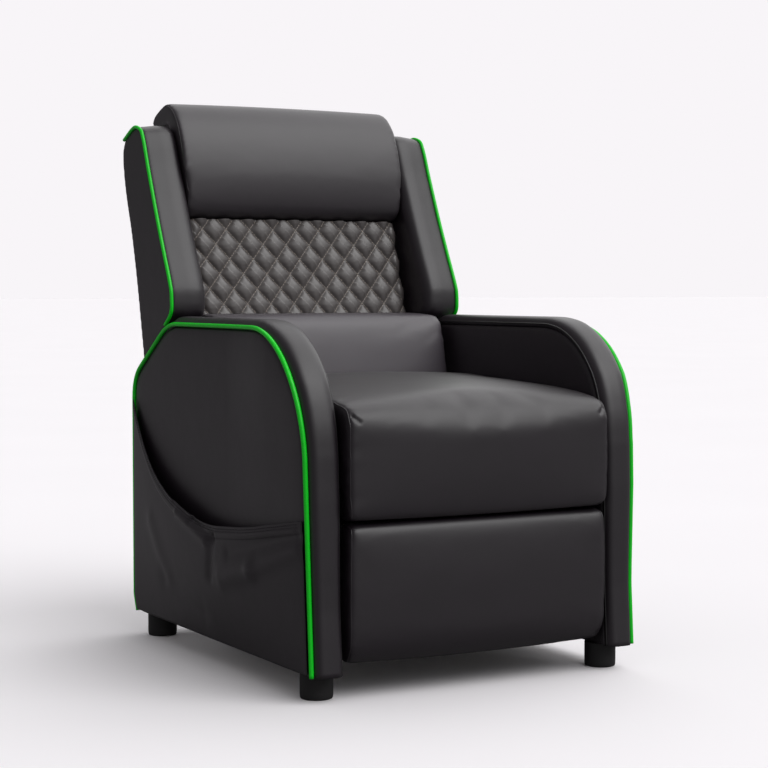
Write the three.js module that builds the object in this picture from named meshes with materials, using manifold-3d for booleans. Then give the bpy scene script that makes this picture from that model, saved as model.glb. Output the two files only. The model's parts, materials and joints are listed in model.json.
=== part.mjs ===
import * as THREE from 'three';
import * as BufferGeometryUtils from 'three/addons/utils/BufferGeometryUtils.js';
import Module from 'manifold-3d';

// A push-back recliner armchair with a fold-out footrest, in millimetres. It faces -Y, +X is to the
// right of someone who looks at its front, and +Z is up. Left and right in the names are the
// sitter's, so right is -X. Side views are written as Vector2 points, y to the rear and z up.

const wasm = await Module();
wasm.setup();

// Sizes shared by the whole chair
const touchGap = 0.3;             // between pieces that lie against each other
const slideGap = 1;               // between steel plates that move past each other
const seatWidth = 500;
const seatSideGap = 8;            // from the seat cushion to each arm
const armThickness = 56;
const pipingRadius = 4;
const steelThickness = 3;
const pinRadius = 5;
const pinClearance = 0.4;         // around a pin in its hole
const openPinClearance = 2.4;     // around a pin that closes a linkage loop
const railThickness = 20;

// Arm outline, seen from the side, along the middle of its piping
const armBottom = 43;
const armTop = 600;
const armRear = 376;
const armDepth = 736;             // from its front to its rear edge, without the toe
const armToe = 23;                // how much further forward the bottom is than the front
const armCurveRun = 199;          // the front curve, along and down
const armCurveDrop = 205;
const armSlantRun = 171;          // the slant at the rear, along and down
const armSlantDrop = 105;
const armSlantRounding = 40;
const armHeelRun = 12;            // the cut corner at the bottom of the rear edge
const armHeelRise = 32;
const armBoardThickness = 18;
const armOuterPadThickness = 11;
const coverEdgeRise = 1;          // a cover's edge over the middle of the piping beside it
const armCoverCrown = 8;
const armSeamInset = 3;           // from the inner face to the top cover's inner edge

// Side pocket on the right arm
const pocketThickness = 2.5;
const pocketBulge = 26;
const pocketEdgeInset = 8;
const pocketBottomRise = 4;       // over the arm's bottom
const pocketHemRear = 450;        // height of the hem at the rear edge
const pocketHemLow = 254;         // at its lowest
const pocketHemFront = 291;       // at the front edge

// Feet
const footRadius = 27.5;
const footChamfer = 2.5;
const footSideInset = 33;         // from the arm's outer face to the foot's middle
const footFrontInset = 25;        // from the arm's front and rear edges
const footRearInset = 56;

// Base rails, rear panel and base plates
const baseRailBottom = 60;
const frontRailHeight = 35;
const frontRailForward = 172;     // the rail's front face
const rearRailHeight = 50;
const rearRailInset = 26;         // from the arm's rear edge to the rail's rear face
const rearPanelThickness = 10;
const rearPanelBottom = 52;
const rearPanelTop = 300;
const basePlateHeight = 44;

// Swing links that carry the seat
const swingLength = 100;
const swingTilt = 15;             // degrees to the rear at rest, and to the front when reclined
const swingPivotHeight = 130;
const swingFrontForward = 120;
const swingRearRearward = 150;
const linkWidth = 24;

// Seat
const seatOverhang = 40;          // of its front face past the arms' front edges
const seatRear = 100;
const seatTop = 500;              // at the rear, before the crown
const seatLipBottom = 293;
const seatLipThickness = 40;
const seatCrown = 16;
const seatDrawIn = 26;
const seatRailHeight = 44;
const seatRailTop = 344;
const seatRearRailRearward = 115;
const seatPlateDrop = 4;          // from the rails' top to the plate's top
const seatPlateSetback = 67;      // from the cushion's front face to the plate's front edge
const plateMargin = 22;           // of a plate around its pivots
const springCount = 4;
const springWaves = 5;
const springAmplitude = 22;
const springPitch = 96;
const springWire = 2;             // radius
const springDrop = 8;             // from the rails' top to the springs' middle
const springLead = 8;             // the straight stretch at each end
const tieWireCount = 3;

// Footrest linkage at rest: pivots seen from the side
const thighSetback = 86;          // rear link's top pivot on the seat plate, behind the bracket's pivot
const thighHeight = 252;
const rearLinkLength = 168;       // hangs straight down to the knee
const footrestPivotSetback = 20;  // front link's upper end on the bracket, behind the board's rear face
const footrestPivotHeight = 230;
const controlSetback = 40.6;      // control link's pivot on the seat plate, behind the bracket's pivot
const controlHeight = 205.8;
const kneeArmForward = 31.2;      // front link's ear beyond the knee, for the control link
const kneeArmDrop = 15.3;
const guideArmRearward = 40;      // rear link's ear, for the guide link
const guideArmDrop = 130.5;
const bracketArmRearward = 49.3;  // footrest bracket's ear, for the guide link
const bracketArmRise = 35.7;
const torqueTubeRadius = 9;
const torqueTubeRearward = 18;    // from the rear link's top pivot
const torqueTubeDrop = 28;

// Footrest
const footrestBottom = 56;
const footrestSeatGap = 7;        // between its top and the seat's lip
const footrestSideInset = 2;      // from the seat cushion's sides
const footrestFrontInset = 2;     // from the seat cushion's front face
const footrestPadThickness = 48;
const footrestBoardThickness = 12;
const footrestBoardInset = 6;
const footrestDrawIn = 18;
const footrestCrown = 9;
const bracketFlangeWidth = 30;
const bracketFlangeDrop = 54;     // below and above the front link's pivot
const bracketFlangeRise = 32;

// Back: its own frame lies on its rear plane, which leans, with depth forward and height along it
const backLean = 12.8;            // degrees
const backRear = 347;
const backHeight = 542;
const backHingeRearward = 260;
const backHingeHeight = 330;
const backHingePinRadius = 6;
const backHingeBossRadius = 12;
const backCoverThickness = 12;
const backCoverTop = 440;
const backCoverOverhang = 20;     // below the posts' ends
const postWidth = 24.7;
const postFront = 62;             // depth of the posts' front face
const postReach = 4;              // of the posts past the hinge line
const backRailHeight = 25;
const backBracketWidth = 36;
const backBracketDrop = 95;       // from the wings' lower edge to its top pivot
const quiltSideGap = 10;          // from the quilted panel to each wing

// Wings
const wingSideInset = 6;          // from the arm's outer face
const wingThickness = 73;
const wingTop = 430;
const wingDepth = 167;            // at the deepest, near the bottom
const wingArmGap = 18;            // above the line of the arm's slanted edge
const wingPuff = 6;
const wingInnerSetback = 22;      // the inner edge of its front face lies further back

// Headrest
const headrestSideGap = 5;        // to each wing's inner face
const headrestBottom = 247;
const headrestTop = 478;
const headrestDepth = 126;
const headrestRear = 14;          // how far it hangs over the rear plane
const headrestDrawIn = 14;
const headrestCrown = 4;

// Quilted panel
const quiltTopGap = 4;            // to the headrest
const quiltBottomDepth = 111;
const quiltTopDepth = 97;
const diamondWidth = 50;
const diamondHeight = 60;
const diamondStart = 103;         // height of a row of crossings on the middle line
const grooveDepth = 7;

// Lumbar cushion
const lumbarArmGap = 13;          // in front of the wings, to each arm's inner face
const lumbarWingGap = 1;          // between the wings
const lumbarTop = 52;
const lumbarDepth = 206;
const lumbarDrop = 168;
const lumbarDrawIn = 16;
const lumbarCrown = 6;

// Materials
const materials = {
  leather: new THREE.MeshStandardMaterial({ color: '#2b292b', roughness: 0.48, metalness: 0 }),
  quilt: new THREE.MeshStandardMaterial({ color: '#6f6a68', roughness: 0.42, metalness: 0 }),
  piping: new THREE.MeshStandardMaterial({ color: '#00c814', roughness: 0.45, metalness: 0 }),
  lining: new THREE.MeshStandardMaterial({ color: '#1b1b1c', roughness: 0.9, metalness: 0 }),
  wood: new THREE.MeshStandardMaterial({ color: '#b48d5c', roughness: 0.75, metalness: 0 }),
  steel: new THREE.MeshStandardMaterial({ color: '#3a3c40', roughness: 0.4, metalness: 0.9 }),
  spring: new THREE.MeshStandardMaterial({ color: '#8a8c90', roughness: 0.35, metalness: 0.9 }),
  plastic: new THREE.MeshStandardMaterial({ color: '#151515', roughness: 0.5, metalness: 0 }),
};

// Places that several pieces share
const armFront = armDepth - armRear;
const armInner = seatWidth / 2 + seatSideGap;
const armOuter = armInner + armThickness;
const armBoardOuter = armOuter - armOuterPadThickness - touchGap;
const armBoardInner = armBoardOuter - armBoardThickness;
const coverInset = pipingRadius + touchGap;
const basePlateInner = armInner - touchGap - steelThickness;
const swingInner = basePlateInner - slideGap - steelThickness;
const seatPlateInner = swingInner - slideGap - steelThickness;
const seatHalfWidth = seatWidth / 2;
const seatFront = armFront + seatOverhang;
const seatUnderside = seatRailTop + touchGap;
const seatRailFront = seatLipThickness + touchGap - seatFront;
const springHeight = seatRailTop - springDrop;
const seatRailOuter = seatPlateInner - touchGap;
const footrestTop = seatLipBottom - footrestSeatGap;
const footrestHalfWidth = seatHalfWidth - footrestSideInset;
const footrestFront = seatFront - footrestFrontInset;
const footrestBoardForward = footrestFront - footrestPadThickness;
const footrestBoardRear = footrestBoardForward - footrestBoardThickness;
const footrestPivotForward = footrestBoardRear - footrestPivotSetback;
const thighForward = footrestPivotForward - thighSetback;
const controlForward = footrestPivotForward - controlSetback;
const rearRailRearward = armRear - rearRailInset;
const wingOuter = armOuter - wingSideInset;
const wingInner = wingOuter - wingThickness;
const postOuter = wingInner - touchGap;
const quiltTop = headrestBottom - quiltTopGap;
const quiltBottom = lumbarTop + 2 * touchGap;
const quiltHalfWidth = wingInner - quiltSideGap;

// Layers of the footrest's links, counted inwards from the seat plate
const controlLayer = 1;
const rearLayer = 2;
const frontLayer = 3;
const bracketLayer = 4;
const guideLayer = 5;

const lean = THREE.MathUtils.degToRad(backLean);
const tilt = THREE.MathUtils.degToRad(swingTilt);

// Inner and outer face of a layer of links
function layerFaces(layer) {
  const outer = seatPlateInner - slideGap - (layer - 1) * (steelThickness + slideGap);
  return [outer - steelThickness, outer];
}

// Where a pin through a layer ends, past its inner face
function pinTip(layer) {
  return layerFaces(layer)[0] - touchGap;
}

// A place in the side view, from how far forward and how high it is
function ahead(forward, height) {
  return new THREE.Vector2(-forward, height);
}

// A place in the side view, from how far to the rear and how high it is
function behind(rearward, height) {
  return new THREE.Vector2(rearward, height);
}

// A place in the back's own frame, from its depth in front of the rear plane and its height
const inBack = ahead;

// The back's own frame, seen from the side, as a place of the whole chair
function backPlace(depth, height) {
  const along = height * Math.sin(lean) - depth * Math.cos(lean);
  const up = height * Math.cos(lean) + depth * Math.sin(lean);
  return new THREE.Vector2(backRear + along, backHeight + up);
}

// A side-view place of the whole chair, as depth and height in the back's own frame
function seenFromBack(place) {
  const along = place.x - backRear;
  const up = place.y - backHeight;
  return {
    depth: up * Math.sin(lean) - along * Math.cos(lean),
    height: up * Math.cos(lean) + along * Math.sin(lean),
  };
}

// How high a wing's lower edge lies in the back's own frame, at a depth: it follows the arm's slant
function wingSole(depth) {
  const top = seenFromBack(behind(armRear - armSlantRun, armTop));
  const bottom = seenFromBack(behind(armRear, armTop - armSlantDrop));
  const slope = (top.height - bottom.height) / (top.depth - bottom.depth);
  return bottom.height + slope * (depth - bottom.depth) + wingArmGap;
}

const pivots = {
  swingFront: ahead(swingFrontForward, swingPivotHeight),
  swingRear: behind(swingRearRearward, swingPivotHeight),
  thigh: ahead(thighForward, thighHeight),
  knee: ahead(thighForward, thighHeight - rearLinkLength),
  footrest: ahead(footrestPivotForward, footrestPivotHeight),
  control: ahead(controlForward, controlHeight),
  backHinge: behind(backHingeRearward, backHingeHeight),
};
const swingReach = new THREE.Vector2(Math.sin(tilt), Math.cos(tilt)).multiplyScalar(swingLength);
pivots.seatFront = pivots.swingFront.clone().add(swingReach);
pivots.seatRear = pivots.swingRear.clone().add(swingReach);
pivots.kneeEar = pivots.knee.clone().add(ahead(kneeArmForward, -kneeArmDrop));
pivots.guide = pivots.thigh.clone().add(behind(guideArmRearward, -guideArmDrop));
pivots.bracketEar = pivots.footrest.clone().add(behind(bracketArmRearward, bracketArmRise));

// A curve that passes its points one by one, so that a tube along it has a ring at each
class PointPath extends THREE.Curve {
  constructor(points) {
    super();
    this.points = points;
  }

  getPoint(share, target = new THREE.Vector3()) {
    const place = share * (this.points.length - 1);
    const first = Math.min(Math.floor(place), this.points.length - 2);
    return target.copy(this.points[first]).lerp(this.points[first + 1], place - first);
  }

  getPointAt(share, target) {
    return this.getPoint(share, target);
  }

  getTangentAt(share, target = new THREE.Vector3()) {
    const index = Math.round(share * (this.points.length - 1));
    const before = this.points[Math.max(index - 1, 0)];
    const here = this.points[index];
    const after = this.points[Math.min(index + 1, this.points.length - 1)];
    const entering = here.clone().sub(before).normalize();
    const leaving = after.clone().sub(here).normalize();
    return target.copy(entering).add(leaving).normalize();
  }
}

// Closed mesh from corner places and faces, with its faces turned to point out
function closedMesh(places, faces) {
  let volume = 0;
  for (const [a, b, c] of faces) {
    volume += places[a].dot(new THREE.Vector3().crossVectors(places[b], places[c]));
  }
  const turned = volume < 0 ? faces.map(([a, b, c]) => [a, c, b]) : faces;
  const geometry = new THREE.BufferGeometry().setFromPoints(places);
  geometry.setIndex(turned.flat());
  return geometry;
}

// The geometry with only its positions, shared corners merged
function mergedCorners(geometry) {
  const plain = geometry.clone();
  plain.deleteAttribute('normal');
  plain.deleteAttribute('uv');
  return BufferGeometryUtils.mergeVertices(plain);
}

function toManifold(geometry) {
  const merged = mergedCorners(geometry);
  const vertProperties = new Float32Array(merged.attributes.position.array);
  const triVerts = new Uint32Array(merged.index.array);
  return new wasm.Manifold(new wasm.Mesh({ numProp: 3, vertProperties, triVerts }));
}

function fromManifold(body) {
  const mesh = body.getMesh();
  const geometry = new THREE.BufferGeometry();
  geometry.setAttribute('position', new THREE.BufferAttribute(mesh.vertProperties, 3));
  geometry.setIndex(new THREE.BufferAttribute(mesh.triVerts, 1));
  return geometry;
}

function joined(...geometries) {
  const bodies = geometries.map(toManifold);
  return fromManifold(bodies.reduce((sum, body) => sum.add(body)));
}

// The same piece for the right side: built for +X, turned over to -X
function mirrored(geometry) {
  const flipped = mergedCorners(geometry);
  flipped.scale(-1, 1, 1);
  const index = flipped.index.array;
  for (let i = 0; i < index.length; i += 3) {
    [index[i], index[i + 1]] = [index[i + 1], index[i]];
  }
  return flipped;
}

// A side-view shape made into a plate that lies between two places on the X axis
function plate(shape, from, to) {
  const options = { depth: to - from, bevelEnabled: false, curveSegments: 6 };
  const geometry = new THREE.ExtrudeGeometry(shape, options);
  const sideways = new THREE.Matrix4().makeBasis(
    new THREE.Vector3(0, 1, 0),
    new THREE.Vector3(0, 0, 1),
    new THREE.Vector3(1, 0, 0),
  );
  geometry.applyMatrix4(sideways);
  geometry.translate(from, 0, 0);
  return geometry;
}

function roundHole(place, radius) {
  return new THREE.Path().absarc(place.x, place.y, radius, 0, Math.PI * 2, true);
}

// A bar with round ends between two pivots
function barShape(start, end, width, holes = []) {
  const along = end.clone().sub(start).angle();
  const shape = new THREE.Shape();
  shape.absarc(start.x, start.y, width / 2, along + Math.PI / 2, along + Math.PI * 1.5, false);
  shape.absarc(end.x, end.y, width / 2, along - Math.PI / 2, along + Math.PI / 2, false);
  shape.holes = holes.map(([place, radius]) => roundHole(place, radius));
  return shape;
}

function pin(place, radius, from, to) {
  const geometry = new THREE.CylinderGeometry(radius, radius, to - from, 16);
  geometry.rotateZ(Math.PI / 2);
  geometry.translate((from + to) / 2, place.x, place.y);
  return geometry;
}

function block(from, to) {
  const size = to.clone().sub(from);
  const geometry = new THREE.BoxGeometry(size.x, size.y, size.z);
  const middle = from.clone().add(to).multiplyScalar(0.5);
  geometry.translate(middle.x, middle.y, middle.z);
  return geometry;
}

function tube(points, radius, sides) {
  const section = new THREE.Shape().absarc(0, 0, radius, 0, Math.PI * 2, false);
  const options = {
    steps: points.length - 1,
    curveSegments: sides,
    bevelEnabled: false,
    extrudePath: new PointPath(points),
  };
  return new THREE.ExtrudeGeometry(section, options);
}

// Outward normals of an outline, which runs so that the inside lies to its right
function outwardNormals(points, closed) {
  const sharpestTurn = 0.6;
  const count = points.length;
  return points.map((point, i) => {
    const before = points[closed ? (i + count - 1) % count : Math.max(i - 1, 0)];
    const after = points[closed ? (i + 1) % count : Math.min(i + 1, count - 1)];
    const entering = point.clone().sub(before).normalize();
    const leaving = after.clone().sub(point).normalize();
    const along = entering.clone().add(leaving).normalize();
    const turn = Math.max(entering.dot(along) || leaving.dot(along), sharpestTurn);
    return new THREE.Vector2(-along.y, along.x).divideScalar(turn);
  });
}

function moved(point, normal, distance) {
  return point.clone().addScaledVector(normal, distance);
}

// A soft body, from an outline that is repeated at stations across X. At each station every point
// moves along its own normal by the station's swell times the point's give. The end faces are fans
// round the hub.
function softBody(outline, stations, hub) {
  const points = outline.map((entry) => entry.at);
  const normals = outwardNormals(points, true);
  const places = [];
  for (const { x, swell } of stations) {
    points.forEach((point, i) => {
      const there = moved(point, normals[i], swell * outline[i].give);
      places.push(new THREE.Vector3(x, there.x, there.y));
    });
  }
  const count = points.length;
  const faces = [];
  for (let row = 0; row < stations.length - 1; row += 1) {
    for (let i = 0; i < count; i += 1) {
      const a = row * count + i;
      const b = row * count + ((i + 1) % count);
      faces.push([a, b, b + count], [a, b + count, a + count]);
    }
  }
  const last = (stations.length - 1) * count;
  places.push(new THREE.Vector3(stations[0].x, hub.x, hub.y));
  places.push(new THREE.Vector3(stations[stations.length - 1].x, hub.x, hub.y));
  for (let i = 0; i < count; i += 1) {
    const next = (i + 1) % count;
    faces.push([places.length - 2, next, i], [places.length - 1, last + i, last + next]);
  }
  return closedMesh(places, faces);
}

// Stations across a cushion: its sides are drawn in round its edges and its middle crowns
function cushionStations(halfWidth, drawIn, crown) {
  const edgeSteps = 3;
  const middleSteps = 8;
  const edgeDepthShare = 0.8;
  const flatHalf = halfWidth - drawIn;
  const stations = [];
  const station = (x) => {
    const past = Math.min(Math.max((Math.abs(x) - flatHalf) / drawIn, 0), 1);
    const rise = 1 - (x / halfWidth) ** 2;
    const drawn = drawIn * edgeDepthShare * (1 - Math.sqrt(1 - past ** 2));
    return { x, swell: crown * rise - drawn };
  };
  for (let i = edgeSteps; i > 0; i -= 1) {
    stations.push(station(-flatHalf - drawIn * Math.sin((i / edgeSteps) * (Math.PI / 2))));
  }
  for (let i = 0; i <= middleSteps; i += 1) {
    stations.push(station(flatHalf * ((2 * i) / middleSteps - 1)));
  }
  for (let i = 1; i <= edgeSteps; i += 1) {
    stations.push(station(flatHalf + drawIn * Math.sin((i / edgeSteps) * (Math.PI / 2))));
  }
  return stations;
}

// The points of some curves on end, each with its own number of steps
function chained(pieces) {
  const points = [];
  for (const [curve, steps] of pieces) {
    const more = curve.getPoints(steps);
    points.push(...(points.length ? more.slice(1) : more));
  }
  return points;
}

function arcCorner(before, corner, after) {
  return new THREE.QuadraticBezierCurve(before, corner, after);
}

// The arm's edge from the bottom of its front, over the top, to the bottom of its rear
function armEdge() {
  const toe = ahead(armFront + armToe, armBottom);
  const frontTop = ahead(armFront, armTop - armCurveDrop);
  const topFront = ahead(armFront - armCurveRun, armTop);
  const slantTop = behind(armRear - armSlantRun, armTop);
  const slantBottom = behind(armRear, armTop - armSlantDrop);
  const heelTop = behind(armRear, armBottom + armHeelRise);
  const heel = behind(armRear - armHeelRun, armBottom);
  const slant = slantBottom.clone().sub(slantTop).normalize();
  const slantStart = moved(slantTop, slant, armSlantRounding);
  const slantEnd = moved(slantBottom, slant, -armSlantRounding);
  const topEnd = slantTop.clone().sub(behind(armSlantRounding, 0));
  const rearStart = slantBottom.clone().sub(behind(0, armSlantRounding));
  const curveHandleShare = 0.51;
  const curve = new THREE.CubicBezierCurve(
    frontTop,
    frontTop.clone().add(behind(armToe * curveHandleShare, armCurveDrop * curveHandleShare)),
    topFront.clone().add(ahead(armCurveRun * curveHandleShare, 0)),
    topFront,
  );
  return chained([
    [new THREE.LineCurve(toe, frontTop), 2],
    [curve, 8],
    [new THREE.LineCurve(topFront, topEnd), 2],
    [arcCorner(topEnd, slantTop, slantStart), 3],
    [new THREE.LineCurve(slantStart, slantEnd), 1],
    [arcCorner(slantEnd, slantBottom, rearStart), 4],
    [new THREE.LineCurve(rearStart, heelTop), 2],
    [new THREE.LineCurve(heelTop, heel), 1],
  ]);
}

// The arm's edge moved out by the distance given for each point, cut off at the arm's bottom
function armLine(distanceAt) {
  const edge = armEdge();
  const normals = outwardNormals(edge, false);
  const points = edge.map((point, i) => moved(point, normals[i], distanceAt(point)));
  const last = points.length - 1;
  for (const [end, inner] of [[0, 1], [last, last - 1]]) {
    const slope = (points[inner].x - points[end].x) / (points[inner].y - points[end].y);
    points[end].x += slope * (armBottom - points[end].y);
    points[end].y = armBottom;
  }
  return points;
}

function armShape(inset) {
  return new THREE.Shape(armLine(() => -inset));
}

function armBoard() {
  return plate(armShape(coverInset), armBoardInner, armBoardOuter);
}

function armOuterCover() {
  return plate(armShape(coverInset), armBoardOuter + touchGap, armOuter);
}

function armInnerCover() {
  return plate(armShape(coverInset), armInner, armBoardInner - touchGap);
}

// The padded strip that follows the arm's edge between its two side covers
function armTopCover() {
  const from = armInner + armSeamInset;
  const to = armOuter - pipingRadius - touchGap;
  const acrossShares = [-1, -0.86, -0.5, 0, 0.5, 0.86, 1];
  const rearCrownShare = 0.1;
  const under = armLine(() => -pipingRadius);
  const lines = [[from, under]];
  for (const share of acrossShares) {
    const x = (from + to) / 2 + ((to - from) / 2) * share;
    const roundness = armCoverCrown * (1 - share ** 4);
    const crownShareAt = (point) => (point.x > armRear - armSlantRun ? rearCrownShare : 1);
    lines.push([x, armLine((point) => coverEdgeRise + roundness * crownShareAt(point))]);
  }
  lines.push([to, under]);
  const rings = under.map((_, i) => lines.map(([x, line]) => new THREE.Vector3(x, line[i].x, line[i].y)));
  return stripMesh(rings.flat(), lines.length);
}

// A closed strip from rings of places, with a fan over each end ring
function stripMesh(places, ring) {
  const rows = places.length / ring;
  const faces = [];
  for (let row = 0; row < rows - 1; row += 1) {
    for (let i = 0; i < ring; i += 1) {
      const a = row * ring + i;
      const b = row * ring + ((i + 1) % ring);
      faces.push([a, b, b + ring], [a, b + ring, a + ring]);
    }
  }
  const last = (rows - 1) * ring;
  for (let i = 1; i < ring - 1; i += 1) {
    faces.push([0, i + 1, i], [last, last + i, last + i + 1]);
  }
  return closedMesh(places, faces);
}

function armPiping() {
  const points = armEdge().map((point) => new THREE.Vector3(armOuter, point.x, point.y));
  return tube(points, pipingRadius, 6);
}

// How high the pocket's hem runs, from its rear edge at share 0 to its front edge at share 1
function pocketHem(share) {
  const lowShare = 0.58;
  if (share < lowShare) {
    const fallPower = 1.9;
    const fall = (1 - share / lowShare) ** fallPower;
    return pocketHemLow + (pocketHemRear - pocketHemLow) * fall;
  }
  const risePower = 1.3;
  const rise = ((share - lowShare) / (1 - lowShare)) ** risePower;
  return pocketHemLow + (pocketHemFront - pocketHemLow) * rise;
}

// The pocket's front and rear edges, just inside the piping, at a height above the arm's bottom
function pocketEdges(rise) {
  const toe = armToe * (1 - rise / (armTop - armCurveDrop - armBottom));
  const heel = armHeelRun * Math.max(1 - rise / armHeelRise, 0);
  return [pocketEdgeInset - armFront - toe, armRear - heel - pocketEdgeInset];
}

// An open-topped pocket, sewn to the arm's outer cover along its front, bottom and rear
function sidePocket() {
  const columns = 16;
  const rows = 9;
  const face = armOuter + touchGap;
  const bottom = armBottom + pocketBottomRise;
  const fullShare = 0.8;
  const grid = (skin) => {
    const places = [];
    for (let column = 0; column <= columns; column += 1) {
      const share = column / columns;
      const hem = pocketHem(share);
      for (let row = 0; row <= rows; row += 1) {
        const upShare = row / rows;
        const height = bottom + (hem - bottom) * upShare;
        const [front, rear] = pocketEdges(height - armBottom);
        const along = rear + (front - rear) * share;
        const fullness = Math.min(upShare / fullShare, 1);
        const puff = Math.sin(Math.PI * share) * Math.sin((Math.PI / 2) * fullness);
        places.push(new THREE.Vector3(face + pocketBulge * puff + skin, along, height));
      }
    }
    return places;
  };
  return doubleSheet(grid(0), grid(pocketThickness), columns, rows);
}

// A closed sheet from two grids of places, its lower and its upper side
function doubleSheet(lower, upper, columns, rows) {
  const at = (column, row) => column * (rows + 1) + row;
  const half = lower.length;
  const faces = [];
  for (let column = 0; column < columns; column += 1) {
    for (let row = 0; row < rows; row += 1) {
      const a = at(column, row);
      const b = at(column + 1, row);
      const c = at(column + 1, row + 1);
      const d = at(column, row + 1);
      faces.push([a, c, b], [a, d, c]);
      faces.push([a + half, b + half, c + half], [a + half, c + half, d + half]);
    }
  }
  const rim = [];
  for (let column = 0; column < columns; column += 1) rim.push(at(column, 0));
  for (let row = 0; row < rows; row += 1) rim.push(at(columns, row));
  for (let column = columns; column > 0; column -= 1) rim.push(at(column, rows));
  for (let row = rows; row > 0; row -= 1) rim.push(at(0, row));
  rim.forEach((a, i) => {
    const b = rim[(i + 1) % rim.length];
    faces.push([a, b, b + half], [a, b + half, a + half]);
  });
  return closedMesh([...lower, ...upper], faces);
}

function foot() {
  const height = armBottom - touchGap;
  const profile = [
    new THREE.Vector2(0, 0),
    new THREE.Vector2(footRadius - footChamfer, 0),
    new THREE.Vector2(footRadius, footChamfer),
    new THREE.Vector2(footRadius, height),
    new THREE.Vector2(0, height),
  ];
  const geometry = new THREE.LatheGeometry(profile, 24);
  geometry.rotateX(Math.PI / 2);
  return geometry;
}

function crossRail(front, bottom, height, halfWidth, thickness) {
  const from = new THREE.Vector3(-halfWidth, front, bottom);
  return block(from, new THREE.Vector3(halfWidth, front + thickness, bottom + height));
}

// Steel plate on the arm's inner face, with a pin for each swing link
function basePlate() {
  const shape = barShape(pivots.swingRear, pivots.swingFront, basePlateHeight);
  const tip = swingInner - touchGap;
  return joined(
    plate(shape, basePlateInner, basePlateInner + steelThickness),
    pin(pivots.swingFront, pinRadius, tip, basePlateInner + steelThickness),
    pin(pivots.swingRear, pinRadius, tip, basePlateInner + steelThickness),
  );
}

function swingLink(lower, upper) {
  const hole = pinRadius + pinClearance;
  const shape = barShape(lower, upper, linkWidth, [[lower, hole], [upper, hole]]);
  return plate(shape, swingInner, swingInner + steelThickness);
}

// Steel side plate of the seat: it hangs on the swing links, and carries the footrest's links
// and the back
function seatPlate() {
  const { seatFront: front, seatRear: rear, thigh, control, backHinge } = pivots;
  const margin = plateMargin;
  const plateFront = seatFront - seatPlateSetback;
  const plateTop = seatRailTop - seatPlateDrop;
  const outline = [
    ahead(plateFront, plateTop),
    ahead(plateFront, seatRailTop - seatRailHeight),
    new THREE.Vector2(control.x - margin, control.y),
    new THREE.Vector2(control.x - margin / 2, control.y - margin),
    new THREE.Vector2(thigh.x, control.y - margin),
    new THREE.Vector2(front.x, front.y - margin),
    new THREE.Vector2(rear.x, rear.y - margin),
    new THREE.Vector2(rear.x + margin, rear.y),
    new THREE.Vector2(backHinge.x + margin, backHinge.y - margin / 2),
    new THREE.Vector2(backHinge.x + margin, backHinge.y + margin / 2),
    new THREE.Vector2(backHinge.x, backHinge.y + margin),
    new THREE.Vector2(rear.x, plateTop),
  ];
  const body = plate(new THREE.Shape(outline), seatPlateInner, seatPlateInner + steelThickness);
  const outerFace = seatPlateInner + steelThickness;
  const swingTip = swingInner + steelThickness + touchGap;
  const bossFace = postOuter + touchGap + steelThickness + touchGap;
  return joined(
    body,
    pin(front, pinRadius, seatPlateInner, swingTip),
    pin(rear, pinRadius, seatPlateInner, swingTip),
    pin(thigh, pinRadius, pinTip(rearLayer), outerFace),
    pin(control, pinRadius, pinTip(controlLayer), outerFace),
    pin(backHinge, backHingeBossRadius, bossFace, outerFace),
    pin(backHinge, backHingePinRadius, postOuter + touchGap, outerFace),
  );
}

// Outline points from a table of shares, each with how far along, how high and how much it gives
function outlineOf(tableOfShares, place) {
  return tableOfShares.map(([along, up, give]) => ({ at: place(along, up), give }));
}

// Outline of the seat cushion, from the bottom of its front lip up and over to the rear. Its
// underside rests on the rails, so it has no give.
function seatOutline() {
  const lipRear = seatLipThickness - seatFront;
  const underMiddle = (lipRear + seatRear) / 2;
  const coverShares = [
    [0.04, 0, 0.4],
    [0.01, 0.05, 0.7],
    [0, 0.2, 1],
    [0, 0.61, 1],
    [0.02, 0.82, 1],
    [0.06, 0.94, 1],
    [0.22, 0.955, 1],
    [0.5, 0.97, 1],
    [0.78, 0.985, 1],
    [0.96, 1, 0.7],
    [1, 0.9, 0.4],
  ];
  const cover = outlineOf(coverShares, (along, up) => ahead(
    seatFront - (seatFront + seatRear) * along,
    seatLipBottom + (seatTop - seatLipBottom) * up,
  ));
  return [
    { at: behind(lipRear, seatLipBottom), give: 0 },
    ...cover,
    { at: behind(seatRear, seatUnderside), give: 0 },
    { at: behind(underMiddle, seatUnderside), give: 0 },
    { at: behind(lipRear, seatUnderside), give: 0 },
  ];
}

function seatCushion() {
  const hub = ahead(seatFront - seatLipThickness / 2, (seatTop + seatUnderside) / 2);
  return softBody(seatOutline(), cushionStations(seatHalfWidth, seatDrawIn, seatCrown), hub);
}

// One sinuous spring: straight at both ends, with square-cornered waves between
function springPath(middle, start, end) {
  const sideShares = [1, 1, -1, -1];
  const steps = springWaves * sideShares.length;
  const points = [new THREE.Vector3(middle, start, springHeight)];
  points.push(new THREE.Vector3(middle, start + springLead, springHeight));
  const length = end - start - springLead * 2;
  for (let i = 0; i < steps; i += 1) {
    const along = start + springLead + (length * (i + 0.5)) / steps;
    const x = middle + springAmplitude * sideShares[i % sideShares.length];
    points.push(new THREE.Vector3(x, along, springHeight));
  }
  points.push(new THREE.Vector3(middle, end - springLead, springHeight));
  points.push(new THREE.Vector3(middle, end, springHeight));
  return points;
}

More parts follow.
